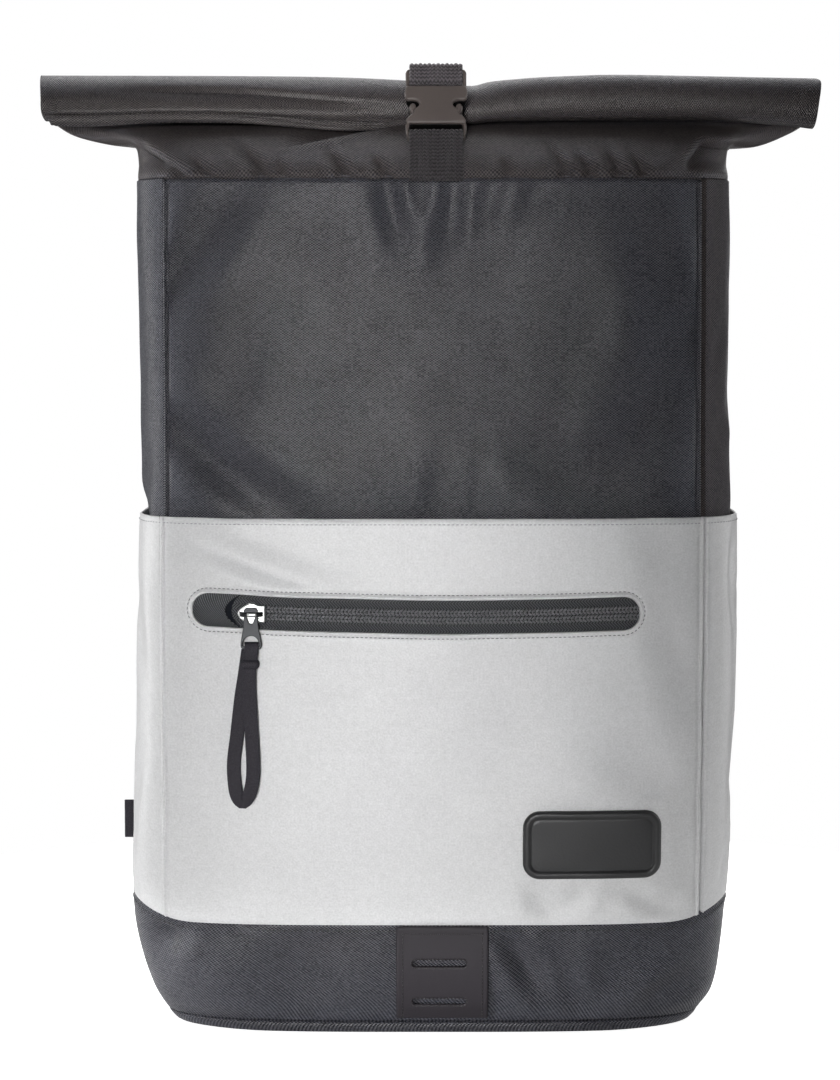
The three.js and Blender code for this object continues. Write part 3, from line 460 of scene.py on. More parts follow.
def run_along(points):
    """Distance of each point of a line from its start."""
    return np.concatenate([[0], np.cumsum(np.linalg.norm(np.diff(points, axis=0), axis=1))])


def spaced(line, run, count):
    """Points of a line at even steps of its run."""
    even = np.linspace(0, run[-1], count)
    return np.stack([np.interp(even, run, column) for column in line.T], axis=-1)


def fold_depth(folds, x, z):
    """Depth of a table of folds: each is a valley with a low ridge on either side."""
    depth = np.zeros(np.broadcast(x, z).shape)
    for place, height, lean, reach, width, deep in folds:
        lean = math.radians(lean)
        along = ((x - place) * math.sin(lean) + (z - height) * math.cos(lean)) / reach
        across = ((x - place) * math.cos(lean) - (z - height) * math.sin(lean)) / width
        ridge = 0.4 * hump(np.abs(across), 1.7, 0.8)
        depth += deep * np.exp(-(along**2)) * (np.exp(-(across**2)) - ridge)
    return depth


def ripple(x, z, size, seed):
    """Soft unevenness of cloth, from -1 to 1, with bumps of about the size given."""
    x, z = np.broadcast_arrays(np.asarray(x, float), np.asarray(z, float))
    found = [noise.noise(Vector((a / size, b / size, seed))) for a, b in zip(x.ravel(), z.ravel())]
    return np.array(found).reshape(x.shape)


def half_outline(values, is_front, count):
    """Half of an outline in even steps: left to right in front, or right to left behind."""
    _, half, shift, front, back, square = values
    square, depth = (square, front) if is_front else (BACK_SQUARE, back)
    angle = np.linspace(math.pi, 2 * math.pi, 1601) if is_front else np.linspace(0, math.pi, 1601)
    x = shift + half * bent(np.cos(angle), 2 / square)
    line = np.stack([x, depth * bent(np.sin(angle), 2 / square)], axis=-1)
    return spaced(line, run_along(line), count + 1)


def ring_outline(values, count):
    return np.concatenate([half_outline(values, is_front, count // 2)[:-1] for is_front in (True, False)])


# Skins and walls: a skin is its points, its four-sided faces and the corners' places on the cloth


def grid_skin(points, is_ring=False, flat=None):
    """Skin on a grid of points, rows going up and columns going right; flat is the same grid with no folds."""
    rows, cols = points.shape[:2]
    flat = points if flat is None else flat
    wide = np.concatenate([flat, flat[:, :1]], axis=1) if is_ring else flat
    across = np.linalg.norm(np.diff(wide, axis=1), axis=2)
    u = np.concatenate([np.zeros((rows, 1)), np.cumsum(across, axis=1)], axis=1)
    u -= u[:, u.shape[1] // 2, None]
    upward = np.linalg.norm(np.diff(wide, axis=0), axis=2)
    v = np.concatenate([np.zeros((1, wide.shape[1])), np.cumsum(upward, axis=0)], axis=0)
    cloth = np.stack([u, v], axis=-1)
    r, c = np.meshgrid(np.arange(rows - 1), np.arange(wide.shape[1] - 1), indexing="ij")
    right = (c + 1) % cols
    quads = np.stack([r * cols + c, r * cols + right, (r + 1) * cols + right, (r + 1) * cols + c], axis=-1)
    corners = np.stack([cloth[:-1, :-1], cloth[:-1, 1:], cloth[1:, 1:], cloth[1:, :-1]], axis=2)
    return points.reshape(-1, 3), quads.reshape(-1, 4), corners.reshape(-1, 4, 2)


def slot_half(x, slot):
    """Half height at x of a slot with round ends."""
    middle, _, long, high = slot
    radius = high / 2
    past = np.abs(x - middle) - (long / 2 - radius)
    return np.sqrt(np.clip(radius**2 - np.clip(past, 0, None) ** 2, 0, None)) * (past < radius - 1e-6)


def slotted_skin(xs, low, high, slots, counts, surface):
    """Skin of an upright panel with slots in it, one block of rows below, between and above the slots."""
    ends = []
    for middle, _, long, tall in slots:
        reach, radius = long / 2 - tall / 2, tall / 2
        round_end = reach + radius * np.sin(np.linspace(0, math.pi / 2, 11))
        ends += [middle - round_end, middle + round_end]
    keep = [x for x in xs if all(np.min(np.abs(end - x)) > 0.6 for end in ends)]
    xs = np.sort(np.concatenate([keep, *ends]))
    xs = xs[np.concatenate([[True], np.diff(xs) > 1e-6])]
    cols = len(xs)
    lows = [np.full(cols, low)] + [slot[1] + slot_half(xs, slot) for slot in slots]
    highs = [slot[1] - slot_half(xs, slot) for slot in slots] + [np.full(cols, high)]
    points, quads, ids = [], [], None
    for block, shares in enumerate(counts):
        for row, share in enumerate(shares):
            z = lows[block] + (highs[block] - lows[block]) * share
            here = np.empty(cols, int)
            for c in range(cols):
                is_shared = block > 0 and row == 0 and slot_half(xs[c], slots[block - 1]) == 0
                here[c] = ids[c] if is_shared else len(points)
                if not is_shared:
                    points.append((xs[c], z[c]))
            if row > 0:
                quads += [(ids[c], ids[c + 1], here[c + 1], here[c]) for c in range(cols - 1)]
            ids = here
    flat = np.array(points)
    quads = np.array(quads)
    return surface(flat[:, 0], flat[:, 1]), quads, flat[quads]


def skin_normals(points, quads):
    a, b, c, d = (points[quads[:, k]] for k in range(4))
    area = np.cross(c - a, d - b)
    normals = np.zeros_like(points)
    for k in range(4):
        np.add.at(normals, quads[:, k], area)
    return normals / np.maximum(np.linalg.norm(normals, axis=1), 1e-12)[:, None]


def moved_out(skin, distance):
    points, quads, corners = skin
    return points + skin_normals(points, quads) * distance, quads, corners


def open_edges(skin):
    """Both ends of every open edge of a skin, and the cloth's places on a strip along it."""
    points, quads, corners = skin
    count = len(points)
    heads, tails = quads.ravel(), np.roll(quads, -1, axis=1).ravel()
    is_edge = ~np.isin(heads * count + tails, tails * count + heads)
    uv_a = corners.reshape(-1, 2)[is_edge]
    uv_b = np.roll(corners, -1, axis=1).reshape(-1, 2)[is_edge]
    return heads[is_edge], tails[is_edge], np.stack([uv_b, uv_a, uv_a, uv_b], axis=1)


def wall(skin, thick, bulge=0.4):
    """Closed cloth wall behind a skin, with a rounded rim along every edge."""
    points, quads, corners = skin
    normals = skin_normals(points, quads)
    count = len(points)
    a, b, rim_uv = open_edges(skin)
    outward = np.zeros_like(points)
    sideways = np.cross(points[b] - points[a], normals[a] + normals[b])
    np.add.at(outward, a, sideways)
    np.add.at(outward, b, sideways)
    edge = np.unique(np.concatenate([a, b]))
    outward = outward[edge] / np.maximum(np.linalg.norm(outward[edge], axis=1), 1e-12)[:, None]
    middle = points[edge] - normals[edge] * thick / 2 + outward * thick * bulge
    rim = np.zeros(count, int)
    rim[edge] = 2 * count + np.arange(len(edge))
    faces = [
        quads,
        quads[:, ::-1] + count,
        np.stack([b, a, rim[a], rim[b]], axis=1),
        np.stack([rim[b], rim[a], a + count, b + count], axis=1),
    ]
    all_points = np.concatenate([points, points - normals * thick, middle])
    return all_points, np.concatenate(faces), np.concatenate([corners, corners[:, ::-1], rim_uv, rim_uv])


def tube(loops):
    """Closed solid through loops of points, with a flat cap at each end."""
    rows, count = loops.shape[:2]
    around = np.linalg.norm(np.diff(np.concatenate([loops, loops[:, :1]], axis=1), axis=1), axis=2)
    u = np.concatenate([np.zeros((rows, 1)), np.cumsum(around, axis=1)], axis=1)
    along = np.linalg.norm(np.diff(loops, axis=0), axis=2).mean(axis=1)
    v = np.concatenate([[0], np.cumsum(along)])
    faces, corners = [], []
    for i in range(rows - 1):
        for k in range(count):
            m = (k + 1) % count
            faces.append((i * count + k, i * count + m, (i + 1) * count + m, (i + 1) * count + k))
            corners.append([(u[i + up, k + right], v[i + up]) for up, right in ((0, 0), (0, 1), (1, 1), (1, 0))])
    faces += [range(count)[::-1], range((rows - 1) * count, rows * count)]
    corners += [[(u[end, k], v[end]) for k in range(count)][::step] for end, step in ((0, -1), (-1, 1))]
    return loops.reshape(-1, 3), faces, corners


def smooth_path(rows, count):
    """Points spaced evenly on a smooth curve through the rows of a table."""
    rows = np.asarray(rows, float)
    run = run_along(rows[:, :3])
    fine = curve_at(np.column_stack([run, rows]), np.linspace(0, run[-1], 20 * len(rows)))[:, 1:]
    return spaced(fine, run_along(fine[:, :3]), count + 1)


def path_frames(path, across):
    """Across and normal directions along a path."""
    ahead = np.roll(path, -1, axis=0) - np.roll(path, 1, axis=0)
    ahead[0], ahead[-1] = path[1] - path[0], path[-1] - path[-2]
    ahead /= np.linalg.norm(ahead, axis=1)[:, None]
    normal = np.cross(ahead, across)
    normal /= np.linalg.norm(normal, axis=1)[:, None]
    return np.cross(normal, ahead), normal


# Pieces


def placed(name, data):
    """Object with a mesh, curve, lamp or camera as its data, in the scene."""
    made = bpy.data.objects.new(name, data)
    bpy.context.scene.collection.objects.link(made)
    return made


def new_piece(name, solid, material):
    """Object from points in millimetres, with its faces' corners on a UV map in metres."""
    points, faces, corners = solid
    mesh = bpy.data.meshes.new(name)
    mesh.from_pydata((np.asarray(points) * MM).tolist(), [], [tuple(int(i) for i in face) for face in faces])
    uv = np.array([place for face in corners for place in face], float) * MM
    mesh.uv_layers.new(name="UVMap").data.foreach_set("uv", uv.ravel())
    mesh.polygons.foreach_set("use_smooth", [True] * len(mesh.polygons))
    mesh.materials.append(material)
    mesh.update()
    return placed(name, mesh)


def outward(piece):
    """Merges doubles and turns all faces of a closed piece outwards."""
    work = bmesh.new()
    work.from_mesh(piece.data)
    bmesh.ops.remove_doubles(work, verts=work.verts, dist=1e-6)
    bmesh.ops.recalc_face_normals(work, faces=work.faces)
    work.to_mesh(piece.data)
    work.free()
    piece.data.update()
    return piece


def settled(piece):
    """The piece with its modifiers or curve made a plain mesh."""
    graph = bpy.context.evaluated_depsgraph_get()
    mesh = bpy.data.meshes.new_from_object(piece.evaluated_get(graph), depsgraph=graph)
    mesh.name = piece.name
    if piece.type == "MESH":
        piece.modifiers.clear()
        piece.data = mesh
        return piece
    name = piece.name
    bpy.data.objects.remove(piece)
    return placed(name, mesh)


def fit(piece, slot, *nodes):
    """Rides the piece on the bag and lets it stand for its solids."""
    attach(piece, BODY)
    if nodes:
        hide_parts(*nodes)
    return piece


def sewn(name, skin, thick, look, slot, *nodes, bulge=0.4):
    """Cloth wall behind a skin, as a piece of the bag."""
    return fit(new_piece(name, wall(skin, thick, bulge), finish(look)), slot, *nodes)


def loft(name, loops, look, place=lambda points: points):
    """Closed solid through loops of points; place puts them in the bag."""
    points, faces, corners = tube(loops)
    return outward(new_piece(name, (place(points), faces, corners), finish(look)))


def in_frame(axes, lift=0.0):
    """Function that puts points of a fitting in the bag; axes are its origin, across, up and out."""
    origin, across, up, out = axes
    return lambda p: origin + p[:, :1] * across + p[:, 1:2] * up + (p[:, 2:] + lift) * out


def plate(name, outline, thick, bevel, place, look, holes=()):
    """Flat plate with holes and rounded edges; place puts a point of the plate in the bag."""
    curve = bpy.data.curves.new(name, "CURVE")
    curve.dimensions = "2D"
    curve.fill_mode = "BOTH"
    curve.extrude = (thick / 2 - bevel) * MM
    curve.bevel_depth = bevel * MM
    curve.bevel_resolution = 2
    curve.offset = -bevel * MM
    for loop in [outline, *holes]:
        spline = curve.splines.new("POLY")
        spline.points.add(len(loop) - 1)
        spline.points.foreach_set("co", [n for x, y in loop for n in (x * MM, y * MM, 0, 1)])
        spline.use_cyclic_u = True
    piece = settled(placed(name, curve))
    local = np.array([v.co for v in piece.data.vertices]) / MM
    piece.data.vertices.foreach_set("co", (place(local) * MM).ravel())
    piece.data.materials.clear()
    piece.data.materials.append(finish(look))
    outward(piece)
    piece.data.polygons.foreach_set("use_smooth", [False] * len(piece.data.polygons))
    return piece


def joined(name, pieces):
    """One object made of several."""
    work = bmesh.new()
    for piece in pieces:
        work.from_mesh(piece.data)
    mesh = bpy.data.meshes.new(name)
    work.to_mesh(mesh)
    work.free()
    mesh.materials.append(pieces[0].data.materials[0])
    for piece in pieces:
        bpy.data.objects.remove(piece)
    return placed(name, mesh)


def rounded(corners, radius=0.8, steps=4):
    """Outline with each corner cut to an arc."""
    corners = np.asarray(corners, float)
    out = []
    for i, corner in enumerate(corners):
        before = corners[i - 1] - corner
        after = corners[(i + 1) % len(corners)] - corner
        reach = min(radius, np.linalg.norm(before) * 0.45, np.linalg.norm(after) * 0.45)
        start = corner + before / np.linalg.norm(before) * reach
        end = corner + after / np.linalg.norm(after) * reach
        for t in np.linspace(0, 1, steps + 1):
            out.append((1 - t) ** 2 * start + 2 * t * (1 - t) * corner + t**2 * end)
    return np.array(out)


def mirrored(corners):
    return [*corners, *((-x, y) for x, y in reversed(corners))]


# Materials


class Finish:
    """A node material while it is built."""

    def __init__(self, name, colour, roughness, specular=0.4, **sockets):
        self.colour = colour
        self.material = bpy.data.materials.new(name)
        self.material.use_nodes = True
        self.material.diffuse_color = (*colour, 1)
        self.nodes, self.links = self.material.node_tree.nodes, self.material.node_tree.links
        self.shader = self.nodes["Principled BSDF"]
        given = {"Base_Color": (*colour, 1), "Roughness": roughness, "Specular_IOR_Level": specular, **sockets}
        for socket, value in given.items():
            self.shader.inputs[socket.replace("_", " ")].default_value = value

    def add(self, kind, *inputs, **settings):
        """New node, with settings and with values or links for its first inputs."""
        node = self.nodes.new(kind)
        for key, value in settings.items():
            setattr(node, key, value)
        for socket, value in zip(node.inputs, inputs):
            if isinstance(value, bpy.types.NodeSocket):
                self.links.new(value, socket)
            else:
                socket.default_value = value
        return node

    def feed(self, socket, value):
        """Links a value to an input of the shader."""
        self.links.new(value, self.shader.inputs[socket])

    def math(self, operation, *inputs):
        return self.add("ShaderNodeMath", *inputs, operation=operation).outputs[0]

    def span(self, value, *limits):
        """Value brought from one range to another, and held in it."""
        return self.add("ShaderNodeMapRange", value, *limits).outputs[0]

    def wave(self, place, period):
        return self.math("SINE", self.math("MULTIPLY", place, 2 * math.pi / period))

    def crossed(self, across, along, wide, tall):
        """Waves both ways, like yarns that pass over and under each other."""
        return self.math("MULTIPLY", self.wave(across, wide), self.wave(along, tall))

    def slanted(self, folded, straight, band, period):
        """Slanted lines that turn back at each band."""
        return self.wave(self.math("ADD", self.math("PINGPONG", folded, band), straight), period)

    def vary(self, tone, value, share):
        """Tone moved up or down by a share of how far a value is from its middle."""
        return self.math("MULTIPLY_ADD", self.math("SUBTRACT", value, 0.5), share, tone)

    def cloth(self):
        """Place on the cloth, across and along, in metres."""
        place = self.add("ShaderNodeUVMap", uv_map="UVMap").outputs[0]
        parts = self.add("ShaderNodeSeparateXYZ", place)
        return place, parts.outputs[0], parts.outputs[1]

    def object_place(self):
        return self.add("ShaderNodeTexCoord").outputs["Object"]

    def grain(self, place, size, detail=2.0):
        made = self.add("ShaderNodeTexNoise", place)
        made.inputs["Scale"].default_value = 1 / size
        made.inputs["Detail"].default_value = detail
        return made.outputs[0]

    def tint(self, factor, down, up):
        """Shades the colour by a factor, from darker to lighter."""
        node = self.add("ShaderNodeMix", factor, data_type="RGBA")
        node.inputs[6].default_value = (*(c * down for c in self.colour), 1)
        node.inputs[7].default_value = (*(min(1, c * up) for c in self.colour), 1)
        self.feed("Base Color", node.outputs[2])

    def bump(self, height, distance, strength=1.0):
        node = self.add("ShaderNodeBump", strength, distance)
        self.links.new(height, node.inputs["Height"])
        self.feed("Normal", node.outputs[0])

    def roughen(self, factor, low, high):
        self.feed("Roughness", self.span(factor, 0.0, 1.0, low, high))


def woven(name, colour, pitch, roughness, contrast, specular=0.35, gloss=0.0, painted_side_light=0.0):
    """Plain weave whose yarns show more in some patches; the last argument is painted light, making the cloth lighter
    at both sides of the bag.
    """
    made = Finish(name, colour, roughness, specular, Specular_Tint=(0.6, 0.7, 1, 1), Coat_Weight=gloss,
                  Coat_Roughness=0.47)
    place, u, v = made.cloth()
    over = made.crossed(u, v, pitch * 0.82, pitch * 0.58)
    cell = made.add("ShaderNodeVectorMath", place, (pitch * 0.41, pitch * 0.29, 1), operation="SNAP").outputs[0]
    yarn = made.add("ShaderNodeTexWhiteNoise", cell, noise_dimensions="2D").outputs[0]
    show = made.span(made.grain(place, 0.011), 0.36, 0.64, 0.55, 1.35)
    tone = made.math("MULTIPLY_ADD", made.math("MULTIPLY", over, show), 0.9, 0.42)
    tone = made.vary(made.vary(tone, yarn, 0.45), made.grain(place, 0.035, 3), 0.3)
    # Painted light: the cloth is made lighter near both sides of the bag, where the lamps catch the collar's ends.
    if painted_side_light:
        side = made.math("ABSOLUTE", made.add("ShaderNodeSeparateXYZ", made.object_place()).outputs[0])
        tone = made.math("ADD", tone, made.span(side, 0.122, 0.142, 0.0, painted_side_light))
    made.tint(tone, 1 - contrast, 1 + 2.2 * contrast)
    made.bump(over, pitch * 0.13)
    made.roughen(tone, roughness + 0.2, roughness - 0.04)
    if gloss:
        made.feed("Coat Weight", made.span(tone, 0.1, 0.9, 0.0, min(2.4 * gloss, 1.0)))
    return made.material


def coated(name, colour):
    """Fine grey cloth with a coated, slightly sparkling face."""
    made = Finish(name, colour, 0.46, 0.5, Sheen_Weight=0.08, Sheen_Roughness=0.4)
    place, u, v = made.cloth()
    sparkle = made.grain(place, 0.0009)
    tone = made.math("MULTIPLY_ADD", made.crossed(u, v, 0.00062, 0.00062), 0.12, 0.5)
    for value, share in ((sparkle, 1.3), (made.grain(place, 0.0032), 0.5), (made.grain(place, 0.02, 4), 0.35)):
        tone = made.vary(tone, value, share)
    made.tint(tone, 0.82, 1.16)
    made.bump(sparkle, 0.00018, 0.7)
    made.roughen(sparkle, 0.38, 0.56)
    return made.material


def ribbed(name, colour):
    """Webbing: a fine rib along and across, with fuzz on the yarns."""
    made = Finish(name, colour, 0.72, 0.3, Sheen_Weight=0.15, Sheen_Roughness=0.5)
    place, u, v = made.cloth()
    line = made.slanted(u, v, 0.00105, 0.0019)
    tone = made.math("MULTIPLY_ADD", line, 0.38, 0.25)
    made.tint(made.math("MULTIPLY_ADD", made.grain(place, 0.0005, 3), 0.4, tone), 0.25, 2.2)
    made.bump(line, 0.0002, 0.7)
    return made.material


def herringbone(name, colour, band):
    """Zip tape: slanted lines that turn back at each band; one wide band is a plain twill."""
    made = Finish(name, colour, 0.66, 0.35)
    place, u, v = made.cloth()
    line = made.slanted(v, u, band, 0.0014)
    tone = made.math("MULTIPLY_ADD", line, 0.45, 0.35)
    made.tint(made.math("MULTIPLY_ADD", made.grain(place, 0.0006), 0.3, tone), 0.2, 2.3)
    made.bump(line, 0.0004, 0.9)
    return made.material


def spacer_mesh(name, colour):
    """Padded spacer mesh: staggered holes in a soft knitted face."""
    made = Finish(name, colour, 0.85, 0.25, Sheen_Weight=0.2, Sheen_Roughness=0.6)
    place, u, v = made.cloth()
    hole = made.span(made.math("ABSOLUTE", made.crossed(u, v, 0.0042, 0.0042)), 0.35, 0.75, 1.0, 0.0)
    fuzz = made.math("MULTIPLY_ADD", made.grain(place, 0.0007, 3), 0.6, 0.6)
    made.tint(made.math("MULTIPLY", hole, fuzz), 0.3, 1.7)
    made.bump(hole, 0.0006, 0.8)
    return made.material


def moulded(name, colour, roughness, grain, depth, specular=0.45):
    """Plastic, rubber or leather: a fine pebbled grain and worn, uneven gloss."""
    made = Finish(name, colour, roughness, specular)
    place = made.object_place()
    pebble = made.add("ShaderNodeTexVoronoi", place)
    pebble.inputs["Scale"].default_value = 1 / grain
    cloud = made.grain(place, 0.012, 4)
    made.tint(made.math("MULTIPLY_ADD", pebble.outputs[0], 0.35, made.math("MULTIPLY", cloud, 0.6)), 0.82, 1.2)
    made.bump(pebble.outputs[0], depth, 0.5)
    made.roughen(cloud, roughness - 0.08, roughness + 0.1)
    return made.material


def metal(name, colour, roughness):
    """Plated die-cast metal with faint rubbing marks."""
    made = Finish(name, colour, roughness, 0.5, Metallic=1.0)
    place = made.object_place()
    rub = made.grain(place, 1 / 900, 4)
    made.tint(made.grain(place, 0.004), 0.88, 1.08)
    made.bump(rub, 0.00003, 0.4)
    made.roughen(rub, roughness - 0.06, roughness + 0.1)
    return made.material


def thread(name, colour):
    """Twisted sewing thread."""
    made = Finish(name, colour, 0.6, 0.3, Sheen_Weight=0.2)
    twist = made.grain(made.object_place(), 0.0006)
    made.tint(twist, 0.7, 1.35)
    made.bump(twist, 0.0001, 0.5)
    return made.material


def finish(name):
    """The bag's materials, each made when it is first asked for."""
    if name in bpy.data.materials:
        return bpy.data.materials[name]
    colours = bpy.context.scene.backpack_colours
    pitch = bpy.context.scene.backpack_sizes.weave

    def tone(key, *shares):
        """One of the bag's colours, as it is or with each part multiplied by its share."""
        return tuple(c * share for c, share in zip(getattr(colours, key), shares or (1, 1, 1)))

    # Browner copy of the black cloth for the collar, roll and right side: painted shade colour, as the cloth looks
    # where little light falls.
    shade_brown = tone("black_cloth", 1.14, 0.98, 0.8)
    makers = {
        "black_weave": (woven, tone("black_cloth"), pitch, 0.35, 0.95, 0.32, 0.31),
        # The collar's cloth has light painted onto its ends by its last number.
        "top_weave": (woven, shade_brown, pitch, 0.4, 0.6, 0.34, 0.1, 0.6),
        "roll_weave": (woven, tuple(1.1 * c for c in shade_brown), pitch, 0.4, 0.6, 0.34, 0.38),
        # Browner, uncoated copy of the black cloth for the right side: painted shade.
        "side_weave": (woven, shade_brown, pitch, 0.45, 0.6, 0.3),
        "base_weave": (woven, tone("base_cloth"), pitch * 1.1, 0.35, 0.95, 0.32, 0.36),
        "grey_coated": (coated, tone("grey_cloth")),
        "webbing_rib": (ribbed, tone("webbing")),
        # The same webbing made lighter for the upper strap: painted light on the face that turns up to the lamps.
        "webbing_pale": (ribbed, tone("webbing", 2.6, 2.6, 2.6)),
        "ribbon": (woven, tone("webbing", 1.25, 1.25, 1.25), 0.0009, 0.7, 0.45, 0.35, 0.05),
        "tape_herringbone": (herringbone, tone("zip_tape"), 0.0026),
        "flap_twill": (herringbone, tone("zip_tape", 1.35, 1.35, 1.35), 0.5),
        "coil_nylon": (moulded, (0.15, 0.15, 0.16), 0.3, 0.0008, 0.00004, 0.5),
        "slider_silver": (metal, (0.66, 0.66, 0.65), 0.3),
        "pull_gunmetal": (metal, (0.042, 0.043, 0.045), 0.42),
        "badge_rubber": (moulded, tone("rubber"), 0.42, 0.0011, 0.00012),
        "patch_leather": (moulded, tone("leather"), 0.6, 0.0009, 0.0001, 0.3),
        "buckle_plastic": (moulded, tone("plastic"), 0.34, 0.0006, 0.00004, 0.5),
        # Near-black plastic for plates inside the buckle: painted shade in its window and notches.
        "dark_plastic": (moulded, (0.003, 0.003, 0.003), 0.8, 0.0006, 0.00004, 0.05),
        "back_spacer": (spacer_mesh, tone("back_mesh")),
        "grey_thread": (thread, tone("grey_thread")),
        "pale_thread": (thread, tone("grey_thread", 1.9, 1.9, 1.9)),
        "black_thread": (thread, (0.022, 0.021, 0.023)),
        "dark_thread": (thread, (0.006, 0.005, 0.005)),
        # Near-black weave for the painted shadow beside the zip's end flap.
        "mouth_weave": (woven, (0.007, 0.007, 0.008), 0.0009, 0.7, 0.4),
    }
    maker, *settings = makers[name]
    return maker(name, *settings)


# Node trees for what repeats


def node_tree(name, *labels):
    """Geometry node tree with numbers and a material as inputs, and its input and output nodes."""
    tree = bpy.data.node_groups.new(name, "GeometryNodeTree")
    kinds = ("Geometry", "NodeSocketGeometry"), *((label, "NodeSocketFloat") for label in labels)
    for label, kind in (*kinds, ("Material", "NodeSocketMaterial")):
        tree.interface.new_socket(label, in_out="INPUT", socket_type=kind)
    tree.interface.new_socket("Geometry", in_out="OUTPUT", socket_type="NodeSocketGeometry")
    return tree, tree.nodes.new("NodeGroupInput"), tree.nodes.new("NodeGroupOutput")


def along_path(tree, given, shape, scale, out):
    """Joins a node tree that sets a shape along each line of its input and gives it its material."""
    curve, steps, tangent, turn, set_down, whole, smooth, coloured = (tree.nodes.new(kind) for kind in (
        "GeometryNodeMeshToCurve", "GeometryNodeResampleCurve", "GeometryNodeInputTangent",
        "FunctionNodeAlignRotationToVector", "GeometryNodeInstanceOnPoints", "GeometryNodeRealizeInstances",
        "GeometryNodeSetShadeSmooth", "GeometryNodeSetMaterial"))
    steps.mode, turn.axis = "LENGTH", "X"
    chain = (given, curve, steps, set_down, whole, smooth, coloured, out)
    links = [(before.outputs[0], after.inputs[0]) for before, after in zip(chain, chain[1:])]
    links += [
        (given.outputs["Pitch"], steps.inputs["Length"]),
        (shape, set_down.inputs["Instance"]),
        (tangent.outputs[0], turn.inputs["Vector"]),
        (turn.outputs[0], set_down.inputs["Rotation"]),
        (given.outputs["Material"], coloured.inputs["Material"]),
    ]
    if scale is not None:
        links.append((scale, set_down.inputs["Scale"]))
    for start, end in links:
        tree.links.new(start, end)


def bead(tree, given, segments):
    """A round bead one unit across, and the scale that makes it a strand."""
    node = tree.nodes.new("GeometryNodeMeshUVSphere")
    for label, value in (("Segments", segments), ("Rings", 5), ("Radius", 0.5)):
        node.inputs[label].default_value = value
    scale = tree.nodes.new("ShaderNodeCombineXYZ")
    for label, socket in zip(("Length", "Thread", "Thread"), scale.inputs):
        tree.links.new(given.outputs[label], socket)
    return node.outputs[0], scale.outputs[0]


def stitch_tree():
    """Sewing stitches: a long bead at every pitch."""
    if "stitch_row" in bpy.data.node_groups:
        return bpy.data.node_groups["stitch_row"]
    tree, given, out = node_tree("stitch_row", "Pitch", "Length", "Thread")
    along_path(tree, given, *bead(tree, given, 8), out)
    return tree


def coil_tree():
    """One row of a coil zip: at every pitch two slanted strands that meet in a point."""
    tree, given, out = node_tree("zip_coil_row", "Pitch", "Length", "Thread", "Slant")
    nodes, links = tree.nodes, tree.links
    strand, scale = bead(tree, given, 6)
    both = nodes.new("GeometryNodeJoinGeometry")
    for side in (1, -1):
        spin, shift = nodes.new("ShaderNodeCombineXYZ"), nodes.new("ShaderNodeCombineXYZ")
        for label, share, socket in (("Slant", side, spin.inputs[1]), ("Length", -side * 0.36, shift.inputs[2])):
            scaled = nodes.new("ShaderNodeMath")
            scaled.operation = "MULTIPLY"
            scaled.inputs[1].default_value = share
            links.new(given.outputs[label], scaled.inputs[0])
            links.new(scaled.outputs[0], socket)
        move = nodes.new("GeometryNodeTransform")
        for label, value in (("Geometry", strand), ("Translation", shift.outputs[0]), ("Rotation", spin.outputs[0]),
                             ("Scale", scale)):
            links.new(value, move.inputs[label])
        links.new(move.outputs[0], both.inputs[0])
    along_path(tree, given, both.outputs[0], None, out)
    return tree


def repeat_along(name, lines, tree, values):
    """Piece made by a node tree along lines of points; a closed line repeats its first point."""
    points, edges = [], []
    for line in lines:
        line = np.asarray(line, float)
        is_closed = np.allclose(line[0], line[-1])
        line = line[:-1] if is_closed else line
        start = len(points)
        points += (line * MM).tolist()
        edges += [(start + i, start + i + 1) for i in range(len(line) - 1)]
        if is_closed:
            edges.append((start + len(line) - 1, start))
    mesh = bpy.data.meshes.new(name)
    mesh.from_pydata(points, edges, [])
    piece = placed(name, mesh)
    modifier = piece.modifiers.new(name, "NODES")
    modifier.node_group = tree
    for item in tree.interface.items_tree:
        if item.item_type == "SOCKET" and item.in_out == "INPUT" and item.name in values:
            modifier[item.identifier] = values[item.name]
    return settled(piece)


def sew(name, lines, material, slot, pitch=None):
    """Rows of stitches along lines of points."""
    sizes = bpy.context.scene.backpack_sizes
    pitch = pitch or sizes.stitch_pitch
    values = {"Pitch": pitch, "Length": sizes.stitch_length * pitch / sizes.stitch_pitch,
              "Thread": sizes.thread, "Material": finish(material)}
    return fit(repeat_along(name, lines, stitch_tree(), values), slot)


# The bag's own surfaces, with their folds


def seam_ridge(distance):
    """Height of the low welt along a sewn edge, with a groove beside it."""
    return 0.65 * hump(distance, 0.5, 0.6) - 0.6 * hump(distance, 1.9, 0.75)


def seam_columns(seam, count):
    """Columns from seam to seam, close together along both edges."""
    near = np.array([0, 0.4, 0.8, 1.2, 1.6, 2.1, 2.7, 3.5, 5, 7.2])
    return np.concatenate([seam[0] + near, np.linspace(seam[0] + 10, seam[1] - 10, count), seam[1] - near[::-1]])


def panel_y(x, z):
    """Front of the black panel."""
    edge = np.minimum(x - FRONT_SEAM[0], FRONT_SEAM[1] - x)
    soft = 0.7 * ripple(x, z, 46, 3.1) + 0.3 * ripple(x, z, 17, 8.2)
    dents = 1.5 * fold_depth(FRONT_FOLDS, x, z) * smoothstep(edge, 0, 5) + soft * smoothstep(edge, 0, 12)
    return front_y(SHELL, x, z) + dents - seam_ridge(edge) + 1.5 * hump(z, TOP_SEAM, 1.1)


